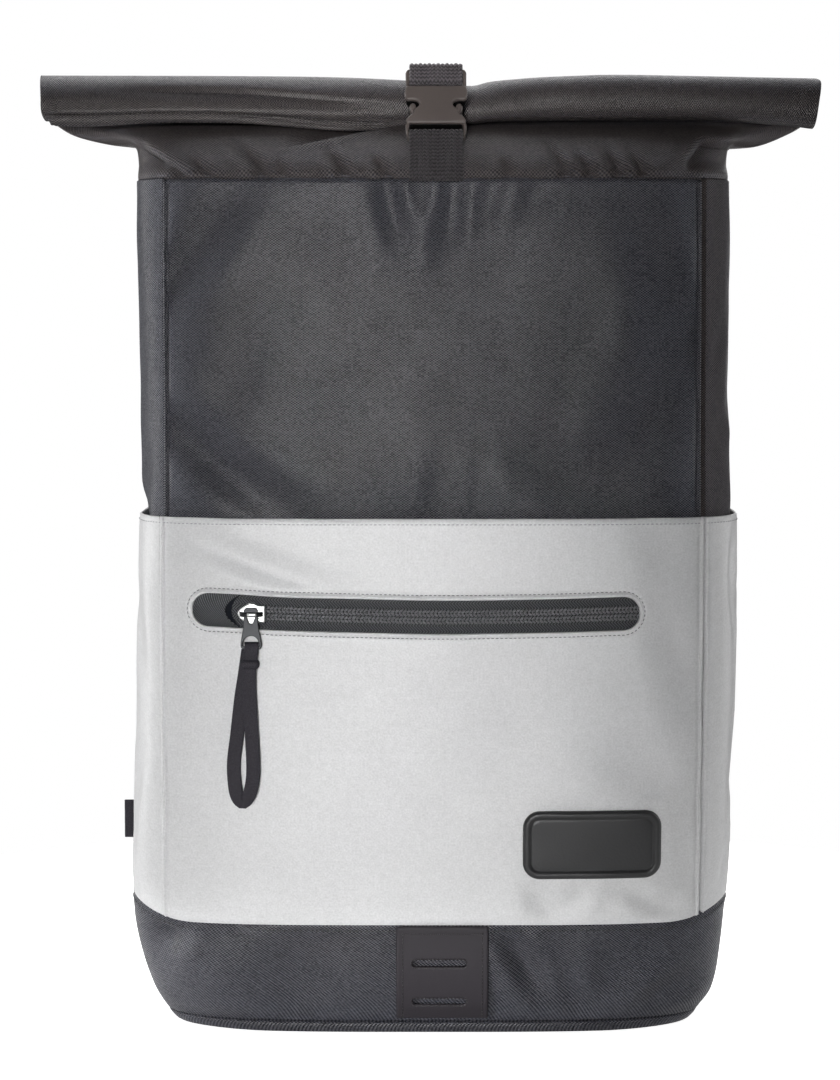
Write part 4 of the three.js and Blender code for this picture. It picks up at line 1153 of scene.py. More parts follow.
def pocket_y(x, z):
    """Front of the grey pocket, which lies flat behind the badge."""
    edge = np.minimum(x - POCKET_SEAM[0], POCKET_SEAM[1] - x)
    low = np.clip(z - BASE_SEAM, 0, None)
    soft = 0.45 * ripple(x, z, 40, 5.7) + 0.16 * ripple(x, z, 15, 1.3)
    past = np.maximum(np.abs(x - BADGE["x"]) - BADGE["half"], np.abs(z - BADGE["z"]) - BADGE["high"])
    dents = (fold_depth(POCKET_FOLDS, x, z) * smoothstep(past, 0, 7) + soft) * smoothstep(low, 0, 8)
    return front_y(POCKET, x, z) + dents - 0.8 * seam_ridge(edge)


def patch_y(x, z):
    """Front of the lash patch."""
    return front_y(BASE, x, z) - GAP - PATCH["thick"]


def on_front(surface, x, z, out=0.0):
    """Points on a front surface, a little out from it."""
    x, z = np.broadcast_arrays(np.asarray(x, float), np.asarray(z, float))
    return np.stack([x, surface(x, z) - out, z], axis=-1)


def zip_bend(x):
    """Rise of the zip at x above its middle height: its ends turn up."""
    return curve_at(ZIP_BEND, x)[..., 1]


def zip_points(x, z, out):
    """Points out from the grey pocket that follow the bend of the zip."""
    return on_front(pocket_y, x, z + zip_bend(x), out)


def window_rim(x, z):
    """Height of the folded rim round the zip window and of the groove of its stitches."""
    radius = ZIP["high"] / 2
    past = np.maximum(ZIP["left"] + radius - x, x - ZIP["right"] + radius)
    out = np.hypot(np.clip(past, 0, None), z - ZIP["z"]) - radius
    return 0.6 * hump(out, 0.7, 0.9) - 0.5 * hump(out, 2.2, 0.6)


def seam_rise(x, y, z):
    """Rise of the cloth near the base seam, which climbs round the bag's front corners."""
    corner = np.clip((np.abs(x + 1.8) - 112) / 34, 0, 1) ** 2 * (1 - smoothstep(y, -36, 56))
    return 11 * corner * smoothstep(z, 12, BASE_SEAM) * (1 - smoothstep(z, BASE_SEAM, 115))


def pocket_points(x, z, out=0.0):
    """Points on the grey pocket, with the zip's rim and bend; z is measured on the flat cloth."""
    near = smoothstep(z, 150, ZIP["z"] - 14) * (1 - smoothstep(z, ZIP["z"] + 14, POCKET_TOP - 2))
    rise = z + zip_bend(x) * near + seam_rise(x, -50, z)
    return np.stack([x, pocket_y(x, rise) - window_rim(x, z) - out, rise], axis=-1)


def side_points(cloth, side, zs):
    """Grid on a side cloth, from the front seam to the back, columns going right as seen from outside."""
    rows, seams, both_folds, seed = cloth
    is_right = side > 0
    seam, folds, seed = seams[is_right], both_folds[is_right], seed + side
    z, share = np.meshgrid(zs, np.linspace(0, 1, 46) ** 1.6, indexing="ij")
    start = front_y(rows, np.full_like(z, seam), z) + (SEAM_GAP if is_right else 0.2)
    y = start + (BACK_PLANE - GAP - start) * share
    soft = 0.5 * ripple(y, z, 34, seed) + 0.2 * ripple(y, z, 13, seed + 4)
    dents = np.maximum(fold_depth(folds, y, z) + soft, -0.3) * smoothstep(share, 0, 0.06)
    x = side_x(rows, side, y, z) - side * dents + (0.9 * hump(y, start, 2.2) if is_right else 0)
    z = z + seam_rise(x, y, z) if rows is POCKET else z
    tuck = np.stack([x[:, 0] - side * 3.2, y[:, 0] + 2.6, z[:, 0]], axis=-1)
    points = np.concatenate([tuck[:, None], np.stack([x, y, z], axis=-1)], axis=1)
    return points if is_right else points[:, ::-1]


def stadium(left, right, z, high, out):
    """Outline of a slot with round ends, moved out by a distance, closed."""
    radius = high / 2
    turn = np.linspace(-math.pi / 2, math.pi / 2, 25)
    wide, tall = (radius + out) * np.cos(turn), (radius + out) * np.sin(turn)
    right_end = np.stack([right - radius + wide, z + tall], axis=-1)
    left_end = np.stack([left + radius - wide, z - tall], axis=-1)
    line = np.concatenate([right_end, left_end, right_end[:1]])
    return spaced(line, run_along(line), 300).T


class BACKPACK_OT_body(bpy.types.Operator):
    """Sew the black front panel and the two side panels"""

    bl_idname = "backpack.body"
    bl_label = "Body panels"

    def execute(self, context):
        thick = context.scene.backpack_sizes.body_cloth / MM
        near_top = np.array([2.8, 2, 1.5, 1, 0.6, 0.3, 0])
        zs = np.concatenate([np.linspace(56, 232, 12), np.linspace(236, TOP_SEAM - 4, 78), TOP_SEAM - near_top])
        x, z = np.meshgrid(seam_columns(FRONT_SEAM, 108), zs)
        flat = on_front(lambda a, b: front_y(SHELL, a, np.full_like(b, 330)), x, z)
        skin = grid_skin(on_front(panel_y, x, z), flat=flat)
        front = sewn("front_cloth", skin, thick, "black_weave", "black_cloth", "front_panel")
        for edge, side in SIDES:
            # The right side gets the browner, uncoated copy of the black cloth: painted shade.
            look = "black_weave" if side < 0 else "side_weave"
            skin = grid_skin(side_points(SHELL_SIDES, side, zs))
            piece = sewn(f"side_cloth_{edge}", skin, thick, look, "black_cloth", f"gusset_{edge}")
        return {"FINISHED"}


class BACKPACK_OT_base(bpy.types.Operator):
    """Make the base band, the stiff floor and the lash patch"""

    bl_idname = "backpack.base"
    bl_label = "Base"

    def execute(self, context):
        zs = np.concatenate([np.linspace(6.4, 16, 8), np.linspace(18, BASE_SEAM, 22)])
        points = np.array([np.column_stack([ring_outline(curve_at(BASE, z), 300), np.full(300, z)]) for z in zs])
        x, y, z = points[..., 0], points[..., 1], points[..., 2].copy()
        dents = fold_depth(BASE_FOLDS, x, z) * (y < 0) + 0.5 * ripple(x, z + y, 30, 2.4)
        dents *= smoothstep(BASE_SEAM - z, 0, 6) * smoothstep(z, 5, 14)
        welt = 0.5 * hump(BASE_SEAM - z, 4.2, 0.9) - 0.5 * hump(BASE_SEAM - z, 2.4, 0.7)
        points[..., 2] += seam_rise(x, y, z)
        skin = moved_out(grid_skin(points, is_ring=True), (welt - dents).reshape(-1, 1))
        band = sewn("base_cloth_band", skin, BASE_CLOTH, "base_weave", "base_cloth", "base_band")
        self.floor()
        self.patch()
        return {"FINISHED"}

    def floor(self):
        """Stiff floor with a rounded edge and a welt along its top."""
        values = curve_at(BASE, 6.4).copy()
        values[[1, 3]] -= 0.7, 0.8
        outline = ring_outline(values, 300)
        ahead = np.roll(outline, -1, axis=0) - np.roll(outline, 1, axis=0)
        inward = np.stack([-ahead[:, 1], ahead[:, 0]], axis=-1) / np.linalg.norm(ahead, axis=1)[:, None]
        corner = smoothstep(np.abs(outline[:, 0]), 80, 124)[:, None]
        loops = []
        for inset, z in FLOOR_PROFILE:
            ring = outline + inward * (inset + 3.6 * corner * max(1 - z / 5, 0))
            loops.append(np.column_stack([ring, np.full(len(ring), z)]))
        fit(loft("base_floor_edge", np.array(loops), "base_weave"), "base_cloth", "base_floor")

    def patch(self):
        """Lash patch with two slots and a rounded edge."""
        def face(x, z):
            edge = np.minimum(x - PATCH["left"], PATCH["right"] - x)
            return on_front(patch_y, x, z, 0.25 * hump(edge, 0, 1.2))

        xs = np.linspace(PATCH["left"], PATCH["right"], 44)
        rows = [np.linspace(0, 1, count) for count in (9, 15, 15)]
        skin = slotted_skin(xs, PATCH["bottom"], PATCH["top"], LASH_SLOTS, rows, face)
        sewn("lash_patch_leather", skin, PATCH["thick"], "patch_leather", "lash_patch", "lash_patch", bulge=0.3)


class BACKPACK_OT_pockets(bpy.types.Operator):
    """Sew the grey front pocket with its zip window, the side pockets and the tag"""

    bl_idname = "backpack.pockets"
    bl_label = "Grey pockets"

    def execute(self, context):
        thick = context.scene.backpack_sizes.pocket_cloth / MM
        window = ((ZIP["left"] + ZIP["right"]) / 2, ZIP["z"], ZIP["right"] - ZIP["left"], ZIP["high"])
        rim = np.array([0.4, 0.8, 1.2, 1.7, 2.2, 2.7, 3.4, 4.4, 6])
        below, above = ZIP["z"] - ZIP["high"] / 2 - BASE_SEAM - GAP, POCKET_TOP - ZIP["z"] - ZIP["high"] / 2
        xs = np.sort(np.concatenate([seam_columns(POCKET_SEAM, 104), ZIP["left"] - rim, ZIP["right"] + rim]))
        rows = (1 - np.concatenate([[0], rim, np.linspace(8, below, 60)])[::-1] / below,
                np.concatenate([[0], rim, np.linspace(8, above, 14)]) / above)
        skin = slotted_skin(xs, BASE_SEAM + GAP, POCKET_TOP, (window,), rows, pocket_points)
        front = sewn("pocket_cloth_front", skin, thick, "grey_coated", "grey_cloth", "pocket_front")
        zs = np.linspace(BASE_SEAM + GAP, POCKET_TOP, 84)
        for edge, side in SIDES:
            skin = grid_skin(side_points(POCKET_SIDES, side, zs))
            piece = sewn(f"pocket_cloth_{edge}", skin, thick, "grey_coated", "grey_cloth", f"pocket_side_{edge}")
        self.tag()
        return {"FINISHED"}

    def tag(self):
        """Plain folded tag in the left side seam."""
        inner = float(side_x(POCKET, -1, np.array(TAG["y"]), np.array(TAG["bottom"]))) - 2 * GAP
        outer = inner - TAG["out"]
        half = TAG["thick"] / 2
        bend = [(outer + half - half * math.sin(a), TAG["y"] + half * math.cos(a)) for a in np.linspace(0, math.pi, 9)]
        across = [(inner, TAG["y"] + half), *bend, (inner, TAG["y"] - half)]
        zs = np.linspace(TAG["bottom"], TAG["top"], 22)
        loops = np.array([[(x, y + 0.15 * math.sin(z), z) for x, y in across] for z in zs])
        fit(loft("side_tag_ribbon", loops, "ribbon"), "webbing", "side_tag")


class BACKPACK_OT_zip(bpy.types.Operator):
    """Make the front zip: tape, end flap, coil, slider, pull tab and ribbon loop"""

    bl_idname = "backpack.zip"
    bl_label = "Front zip"

    def execute(self, context):
        sizes = context.scene.backpack_sizes
        x, z = np.meshgrid(np.linspace(ZIP["left"] - 5, ZIP["right"] + 5, 120),
                           np.linspace(ZIP["z"] - 12, ZIP["z"] + 12, 24))
        skin = grid_skin(zip_points(x, z, -sizes.pocket_cloth / MM - GAP))
        sewn("zip_tape_cloth", skin, 0.8, "tape_herringbone", "zip_tape", "zip_tape")
        self.flap()
        self.coil(sizes.zip_pitch)
        self.slider()
        return {"FINISHED"}

    def flap(self):
        """Twill flap with a hollowed edge over the left end of the zip, and beside it a near-black sheet that is
        painted shadow.
        """
        flap, shadow_sheet = [], []
        for row in np.linspace(-1, 1, 19):
            z, edge, left = ZIP["z"] + 8.2 * row, -97.4 + 7.5 * row**2, -98.5 + 7.5 * row**2
            xs = np.linspace(ZIP["left"] - 4, edge, 20)
            flap.append(zip_points(xs, z, -1.5 + 1.1 * smoothstep(xs, edge - 14, edge)))
            # Near-black crescent beside the flap's hollowed edge: painted shadow.
            xs = np.linspace(left, left + 2.2 + 4.2 * (1 - row**2), 12)
            shadow_sheet.append(zip_points(xs, z, -1.9 + 0.3 * np.linspace(1, 0, 12)))
        sewn("zip_end_flap", grid_skin(np.array(flap)), 0.7, "flap_twill", "zip_tape")
        sewn("zip_mouth", grid_skin(np.array(shadow_sheet)), 0.4, "mouth_weave", "zip_tape", bulge=0.1)

    def coil(self, pitch):
        """Two rows of slanted strands and the ridge where they meet."""
        xs = np.linspace(-86, ZIP["right"] + 1, 110)
        lines = [zip_points(xs, ZIP["z"] + side * 1.75, -0.75) for side in (-1, 1)]
        values = {"Pitch": pitch, "Length": 0.0022, "Thread": 0.0010, "Slant": math.radians(38),
                  "Material": finish("coil_nylon")}
        fit(repeat_along("zip_coil_rows", lines, coil_tree(), values), "zip_coil", "zip_coil")
        bed = np.array([zip_points(xs, ZIP["z"] + across, lift) for across, lift in COIL_BED])
        sewn("zip_coil_bed", grid_skin(bed), 0.4, "tape_herringbone", "zip_coil", bulge=0.1)

    def slider(self):
        """Slider body with its bail, the pull tab and the ribbon loop, in the slider's own frame."""
        ends = front_y(POCKET, np.array([SLIDER_X - 6.5, SLIDER_X + 6.5]), np.array([ZIP["z"]] * 2))
        angle = math.atan2(ends[1] - ends[0], 13)
        origin = np.array([SLIDER_X, ends.mean(), ZIP["z"] - 0.6 + zip_bend(SLIDER_X)])
        along = np.array([math.cos(angle), math.sin(angle), 0])
        axes = (origin, along, np.array([0, 0, 1]), np.array([math.sin(angle), -math.cos(angle), 0]))
        parts = [plate("slider_top", rounded(SLIDER_LINE, 0.9), 2.2, 0.6, in_frame(axes, 1.3), "slider_silver")]
        for x in (-3.4, 3.4):
            post = [(x - 0.9, -0.9), (x + 0.9, -0.9), (x + 0.9, 0.9), (x - 0.9, 0.9)]
            parts.append(plate("slider_post", rounded(post, 0.5), 1.8, 0.3, in_frame(axes, 3.1), "slider_silver"))
        bars = []
        # The bail is dark metal; the silver piece on its middle is a painted highlight.
        for name, line, count, size, look in (
                ("slider_bail", SLIDER_BAIL, 30, 1.15, "pull_gunmetal"),
                ("slider_bail_sleeve", BAIL_HIGHLIGHT, 16, 0.85, "slider_silver")):
            turn = np.linspace(0, 2 * math.pi, 13)[:-1]
            loops = [[(x, y + size * math.cos(a), z - 0.2 + 0.85 * size * math.sin(a)) for a in turn]
                     for x, y, z in smooth_path(line, count)]
            bars.append(loft(name, np.array(loops), look, in_frame(axes)))
        bail, painted_highlight = bars
        fit(outward(joined("zip_slider_body", [*parts, painted_highlight])), "bright_metal", "zip_slider")
        fit(bail, "dark_metal")
        arc = [(3.9 * math.cos(a), -14.7 + 4.7 * math.sin(a)) for a in np.linspace(0, math.pi, 15)]
        tab = plate("zip_pull_tab", rounded(PULL_TAB, 1), 1.3, 0.35, in_frame(axes, 3.5), "pull_gunmetal",
                    [rounded(PULL_EYE, 0.6), rounded(arc, 0.4)])
        fit(tab, "dark_metal", "zip_pull")
        self.loop(in_frame(axes))

    def loop(self, place):
        """Ribbon loop through the tab, with the sewn fold that holds it."""
        path = smooth_path(PULL_LOOP[:, [0, 2, 1, 3]], 150)
        path, turn = path[:, :3], np.radians(path[:, 3])
        across, normal = path_frames(path, np.stack([np.cos(turn), np.sin(turn), np.zeros(len(turn))], axis=-1))
        half, thick = 3.25, 0.4
        steps = ((half, 0.6), (half * 0.92, 1), (half * 0.5, 1), (0, 1),
                 (-half * 0.5, 1), (-half * 0.92, 1), (-half, 0.6))
        section = [(face * w, face * thick * t) for face in (-1, 1) for w, t in steps]
        loops = np.array([[path[i] + across[i] * w + normal[i] * t for w, t in section] for i in range(len(path))])
        fit(loft("pull_ribbon", loops, "ribbon", place), "webbing", "pull_loop")
        ring = rounded([(-4.6, 0.9), (4.1, 0.9), (4.1, 5.9), (-4.6, 5.9)], 1.2)
        swell = (0.75, 0.95, 1, 1, 0.95, 0.75)
        loops = np.array([[(x * k - 0.3, z, 3.4 + (o - 3.4) * k) for x, o in ring]
                          for z, k in zip(np.linspace(-25.4, -21.2, 6), swell)])
        fit(loft("pull_ribbon_keeper", loops, "ribbon", place), "webbing")


class BACKPACK_OT_badge(bpy.types.Operator):
    """Mould the bare badge with its raised rim"""

    bl_idname = "backpack.badge"
    bl_label = "Badge"

    def execute(self, context):
        rings = [(self.ring(0.4), GAP), *((self.ring(inset), height) for inset, height in BADGE_RIM)]
        field, middle = rings[-1][0], np.array([BADGE["x"], BADGE["z"]])
        for share in (0.85, 0.65, 0.45, 0.25, 0.08):
            rings.append((middle + (field - middle) * share, 1.55 + 0.1 * (1 - share)))
        loops = np.array([on_front(pocket_y, *flat.T, out) for flat, out in rings])
        fit(loft("badge_plate", loops, "badge_rubber"), "badge", "badge")
        return {"FINISHED"}

    def ring(self, inset):
        """Rounded outline of the badge, set in from its edge."""
        half, high = BADGE["half"] - inset, BADGE["high"] - inset
        corner = max(BADGE["corner"] - inset, 3.2)
        found = []
        for x, z, start in ((1, 1, 0), (-1, 1, 90), (-1, -1, 180), (1, -1, 270)):
            turn = np.radians(np.linspace(start, start + 90, 13))
            arc = corner * np.stack([np.cos(turn), np.sin(turn)], axis=-1)
            found.append(arc + (x * (half - corner), z * (high - corner)))
        corners = np.concatenate(found)
        outline = []
        for i, point in enumerate(corners):
            straight = np.linspace(0, 1, 20 if i % 13 == 12 else 2)[:-1, None]
            outline.append(point + (corners[(i + 1) % len(corners)] - point) * straight)
        return np.concatenate(outline) + (BADGE["x"], BADGE["z"])


def roll_middle(x):
    """Height of the middle of the roll at x, and half its height."""
    _, top, tall = curve_at(ROLL, x)
    return top - ROLL_CLOTH / 2 - tall, tall


def roll_section(x, angle, offset):
    """Points of the roll at x: the spiral turned by angle, offset from the middle of its cloth."""
    centre, tall = roll_middle(x)
    shrink = offset - ROLL_PITCH * (angle - math.pi / 2) / (2 * math.pi)
    slack = smoothstep(x, 22, 52)
    power = 1 - 0.1 * slack
    z = centre + (tall + shrink) * bent(np.sin(angle), power)
    y = ROLL_Y + (ROLL_DEEP + shrink) * bent(np.cos(angle), power)
    y = y - (ROLL_LEAN - 0.22 * slack) * (centre - z)
    outer = hump(angle, math.radians(175), 1.1)
    groove_z = np.interp(x, (-139, -86, -18), (446.5, 445, 437.5))
    is_left = smoothstep(x, -165, -120) * (1 - smoothstep(x, -22, -12))
    groove = 1.5 * hump(z, groove_z, 2.6) * is_left * outer
    nip = 0.9 * hump(x, -177, 1.5) * hump(z, 439, 3.5) * outer
    soft = 0.5 * np.array([noise.noise(Vector((x / 30, a * 0.8, 6.6))) for a in angle]) * outer
    middle = hump(x, 1, 20) * outer
    return y + groove + nip + soft + middle * 1.2, z


def hem_place(x, drop, lift):
    """Point of the hem, a distance below its line and lifted from the roll; past the turn it hangs on."""
    centre, tall = roll_middle(x)
    z = curve_at(HEM, x)[1] - drop
    down = (centre - z) / (tall + 0.3)
    angle = math.pi + math.asin(min(max(down, -0.9), 0.84))
    hang = max(down - 0.84, 0) * (tall + 0.3)
    y, z = roll_section(x, np.array([angle]), ROLL_CLOTH / 2 + lift)
    return x, y[0] + 0.45 * hang, z[0] - hang


class BACKPACK_OT_top(bpy.types.Operator):
    """Gather the collar and roll the top"""

    bl_idname = "backpack.top"
    bl_label = "Rolled top"

    def execute(self, context):
        self.collar()
        self.roll()
        self.hem()
        return {"FINISHED"}

    def collar(self):
        """One ring of cloth from the top seam to the roll, with an ear at each side."""
        values = curve_at(SHELL, TOP_SEAM).copy()
        values[[1, 3, 4]] -= COLLAR_INSET + COLLAR_CLOTH
        foot = np.concatenate([half_outline(values, True, 330)[:-1], half_outline(values, False, 110)[:-1]])
        share = np.concatenate([np.linspace(0, 1, 331)[:-1], np.linspace(0, 1, 111)[:-1]])
        is_front, is_left = np.arange(len(foot)) < 330, foot[:, 0] < 0
        reach = ROLL[-1, 0] - ROLL[0, 0] - 4
        ends = np.where(is_front, ROLL[0, 0] + 2 + reach * share, ROLL[-1, 0] - 2 - reach * share)
        sideways = smoothstep(np.abs(2 * share - 1), 0.7, 1)
        toward = np.where(is_front, 1, -1)
        keyed = np.column_stack([np.arange(len(COLLAR_PATH)), COLLAR_PATH])
        grid = []
        for step in np.linspace(0, len(COLLAR_PATH) - 1, 56):
            now = curve_at(keyed, np.array(step))[1:]
            lean, rise = (
                np.where(is_front, now[k], now[k + 6]) * (1 - sideways)
                + np.where(is_left, now[k + 2], now[k + 4]) * sideways
                for k in (0, 1))
            z = TOP_SEAM + GAP + (ROOT[1] - TOP_SEAM - GAP) * rise
            x = foot[:, 0] + (ends - foot[:, 0]) * lean
            gathers = 0.62 * fold_depth(COLLAR_FOLDS, foot[:, 0], z) * smoothstep(rise, 0, 0.06)
            gathers *= 1 - smoothstep(rise, 0.45, 0.95)
            soft = np.sin(np.pi * np.clip(rise, 0, 1)) * np.where(
                is_front, 0.7 * ripple(foot[:, 0], z, 22, 4.4), 0.6 * ripple(foot[:, 0], z, 22, 9.4))
            dent = gathers * is_front * (1 - sideways) + soft * (1 - sideways) + 1.6 * hump(z - TOP_SEAM, GAP, 1.1)
            z = z - self.crease(x, z) * is_front
            y = foot[:, 1] + (ROOT[0] - foot[:, 1]) * lean + dent * toward
            y = y - toward * 0.5 * (1 - smoothstep(np.abs(2 * share - 1), 0.9, 1))
            tuck = self.corner_fold(foot, rise) * is_front
            grid.append(np.stack([x - np.sign(foot[:, 0]) * tuck * 0.2, y + tuck, z], axis=-1))
        flat = np.array([np.column_stack([foot, np.full(len(foot), v)]) for v in np.linspace(0, 52, len(grid))])
        skin = moved_out(grid_skin(np.array(grid), is_ring=True, flat=flat), COLLAR_CLOTH)
        collar = sewn("collar_cloth", skin, COLLAR_CLOTH, "top_weave", "black_cloth", "collar_front", "collar_back")

    @staticmethod
    def crease(x, z):
        """Slanting tuck in the collar left of the buckle: a ridge with a hollow above it."""
        past = (z - (419.6 + 0.21 * (x + 60))) / 1.02
        hollow = smoothstep(past, -0.5, 0.9) * hump(np.clip(past, 0, None), 0, 9)
        ridge = hump(past, -1.2, 1.6)
        return (4.6 * hollow - 1.2 * ridge) * smoothstep(x, -76, -48) * (1 - smoothstep(x, -10, -2))

    @staticmethod
    def corner_fold(foot, rise):
        """Fold where the front of the collar turns back to each side."""
        past = np.where(foot[:, 0] > 0, foot[:, 0] - 114 - 5 * smoothstep(rise, 0.2, 0.6),
                        -foot[:, 0] - 121 - 8 * smoothstep(rise, 0.25, 0.55))
        turn = smoothstep(past, 0, 5) * smoothstep(-foot[:, 1], 2, 26)
        return np.where(foot[:, 0] > 0, 6, 4) * turn * smoothstep(rise, 0.02, 0.3) * (1 - smoothstep(rise, 0.5, 0.68))

    def roll(self):
        """Rolled cloth: cut square at the left end, leaning in at the right."""
        angle = np.radians(np.linspace(*ROLL_TURN, 110))
        low, high = ROLL[0, 0], ROLL[-1, 0]
        ends = np.array([0, 0.5, 1.2, 2.2, 3.6, 5.4, 8])
        foot = np.array([(ROOT[0] + 1.7, ROOT[1] - 2), (ROOT[0] - 1.3, ROOT[1] - 2)])
        loops = []
        for x in np.concatenate([low + ends, np.linspace(low + 10, high - 10, 150), high - ends[::-1]]):
            centre, tall = roll_middle(x)
            outside = np.stack(roll_section(x, angle, ROLL_CLOTH / 2), axis=-1)
            inside = np.stack(roll_section(x, angle[::-1], -ROLL_CLOTH / 2), axis=-1)
            tail = (foot[:1] + 2 * outside[:1]) / 3, (foot[1:] + 2 * inside[-1:]) / 3
            ring = np.concatenate([foot[:1], tail[0], outside, inside, tail[1], foot[1:]])
            near = 1 - smoothstep(min(x - low, high - x), 0, 14)
            level = (ring[:, 1] - centre) / (tall + 1.5)
            over, under = np.clip(level, 0, None), np.clip(-level, 0, None)
            if x < 0:
                inward = 1 + 3 * under**4 - 1.5 * over**1.2
            else:
                inward = 2.2 * over - 3 * over**14 - 1.6 * under - 1.5 * under**8 - 1.4
            loops.append(np.column_stack([x + inward * near, ring]))
        roll = fit(loft("roll_cloth", np.array(loops), "roll_weave"), "black_cloth", "roll")

    def hem(self):
        """Stitched hem along the lower front of the roll, left of the buckle: its lip stands off the roll."""
        xs = np.linspace(-184.2, -13, 130)
        levels = np.array([-9, -7, -5.5, -4, -3, -2.2, -1.6, -1.1, -0.7, -0.4, -0.1, 0.2, 0.5, 0.8, 1.1, 1.4, 1.7, 2])
        grid = []
        for level in np.concatenate([levels, 2 + np.linspace(0.15, 1, 6)])[::-1]:
            swell = 0.8 * smoothstep(level, -5, -0.8) + 1.1 * smoothstep(level, 0, 2.4)
            rows = 1.1 * hump(level, 0.3, 0.45) + 0.8 * hump(level, 1.5, 0.42)
            row = []
            for x in xs:
                fade = smoothstep(x, -186, -180) * (1 - smoothstep(x, -44, -14))
                lip = np.interp(x, HEM[:, 0], HEM_LIP) * smoothstep(x, -187, -178)
                drop = level if level <= 2 else 2 + (level - 2) * max(lip - 2, 0.2)
                row.append(hem_place(x, drop, (swell - rows + 0.5) * fade - 0.5))
            grid.append(row)
        sewn("roll_hem", grid_skin(np.array(grid)), 1.2, "roll_weave", "black_cloth")


def webbing(name, rows, count, size, ribs, look="webbing_rib"):
    """Woven strap along a path, with ribs along it whose yarns zigzag."""
    path = smooth_path(rows, count)
    across, normal = path_frames(path, np.tile((1.0, 0, 0), (len(path), 1)))
    half, thick = size[0] / 2, size[1] / 2
    w = np.linspace(-half, half, 6 * ribs + 1)
    phase = (w + half) / size[0] * ribs
    rib = np.abs(np.sin(math.pi * phase)) ** 0.7
    edge = np.sqrt(np.clip(1 - (np.abs(w) / half) ** 14, 0, 1))
    loops = []
    for i, run in enumerate(run_along(path)):
        yarns = 0.5 + 0.5 * np.sin(2 * math.pi * run / 1.9 + math.pi * np.floor(phase))
        high = (thick - 0.6 + 0.4 * rib + 0.3 * rib * yarns) * (0.35 + 0.65 * edge)
        flat, relief = path[i] + np.outer(w, across[i]), np.outer(high, normal[i])
        loops.append(np.concatenate([flat + relief, (flat - relief)[::-1]]))
    return loft(name, np.array(loops), look)


class BACKPACK_OT_buckle(bpy.types.Operator):
    """Mould the side-release buckle and thread its webbing"""

    bl_idname = "backpack.buckle"
    bl_label = "Buckle and closure strap"

    def execute(self, context):
        lean = math.radians(90 - BUCKLE_LEAN)
        axes = (np.array(BUCKLE), np.array([1, 0, 0]), np.array([0, math.cos(lean), math.sin(lean)]),
                np.array([0, -math.sin(lean), math.cos(lean)]))

        def part(name, corners, radius, thick, bevel, lift=0.0, look="buckle_plastic", holes=()):
            return plate(name, rounded(corners, radius), thick, bevel, in_frame(axes, lift), look, holes)

        def pair(name, corners, *sizes):
            return [part(name, [(side * x, y) for x, y in corners], *sizes) for side in (-1, 1)]

        bar = mirrored([(13.2, SOCKET_BAR[0]), (13.2, SOCKET_BAR[1])])
        shell = [part("socket_body", mirrored(SOCKET_WAIST), 0.9, 2.6, 1, 2.2),
                 *pair("socket_arm", SOCKET_ARM, 0.7, 5, 0.7), part("socket_bar", bar, 0.8, 3.2, 0.8)]
        fit(joined("buckle_socket_shell", shell), "buckle", "buckle_socket")
        # Near-black plates behind the socket, seen through its window and notches: painted shade in its hollows.
        shade_core = [(x - 0.6, y) for x, y in SOCKET_WAIST]
        inner = [part("socket_back", mirrored(SOCKET_SHADE_PLATE), 0.8, 1, 0.2, -2.9, "dark_plastic"),
                 part("socket_core", mirrored(shade_core), 0.9, 4.2, 0.3, -1.1, "dark_plastic")]
        fit(joined("buckle_socket_inside", inner), "buckle")
        slot = rounded(mirrored([(PLUG_SLOT[0], PLUG_SLOT[1]), (PLUG_SLOT[0], PLUG_SLOT[2])]), 0.4)
        plug = [part("plug_frame", mirrored(PLUG_HEAD), 1, 3.4, 0.6, holes=[slot]),
                *pair("plug_prong", PLUG_PRONG, 0.5, 5.6, 1)]
        fit(joined("buckle_plug_prongs", plug), "buckle", "buckle_plug")
        self.straps(context.scene.backpack_sizes.webbing_ribs, in_frame(axes))
        return {"FINISHED"}

    def straps(self, ribs, place):
        """Lower strap from the seam round the socket's bar, upper strap over the roll and round the plug's bar."""
        def threaded(*turns):
            return [tuple(place(np.array([[0, up, out]]))[0]) for up, out in turns]

        wrap = GAP + WEBBING[1] / 2
        front, top = 2 + wrap, SOCKET_BAR[1] + wrap
        lower = [(1, -56.6, TOP_SEAM - 1.2), (1, -54.2, 411), (1, -50.8, 417.5)] + threaded(
            (SOCKET_BAR[0] + 0.6, front), (top - 0.6, front), (top, front - 0.6), (top, 0.6 - front),
            (top - 0.6, -front), (SOCKET_BAR[0] - 0.4, -front))
        front, top, slot = 1.6 + wrap, PLUG_TOP + wrap, PLUG_SLOT[2] - wrap
        over = [(66.2, TOP_SEAM + 0.8), (65, 413), (57, 423), (40, 435), (16, 449), (0, 456.4), (-12, 459.2)]
        upper = [(1, y, z) for y, z in over] + threaded(
            (top + 0.4, -1.2), (top, front - 0.8), (top - 0.8, front), (slot + 0.6, front), (slot, front - 0.6),
            (slot, 0.6 - front), (slot + 0.6, -front), (PLUG_TOP - 1.6, -front))
        # The upper strap takes the lighter copy of the webbing: painted light.
        for name, rows, count, look in (("lower", lower, 90, "webbing_rib"), ("upper", upper, 190, "webbing_pale")):
            strap = webbing(f"closure_strap_{name}_webbing", rows, count, WEBBING, ribs, look)
            fit(strap, "webbing", f"closure_strap_{name}")


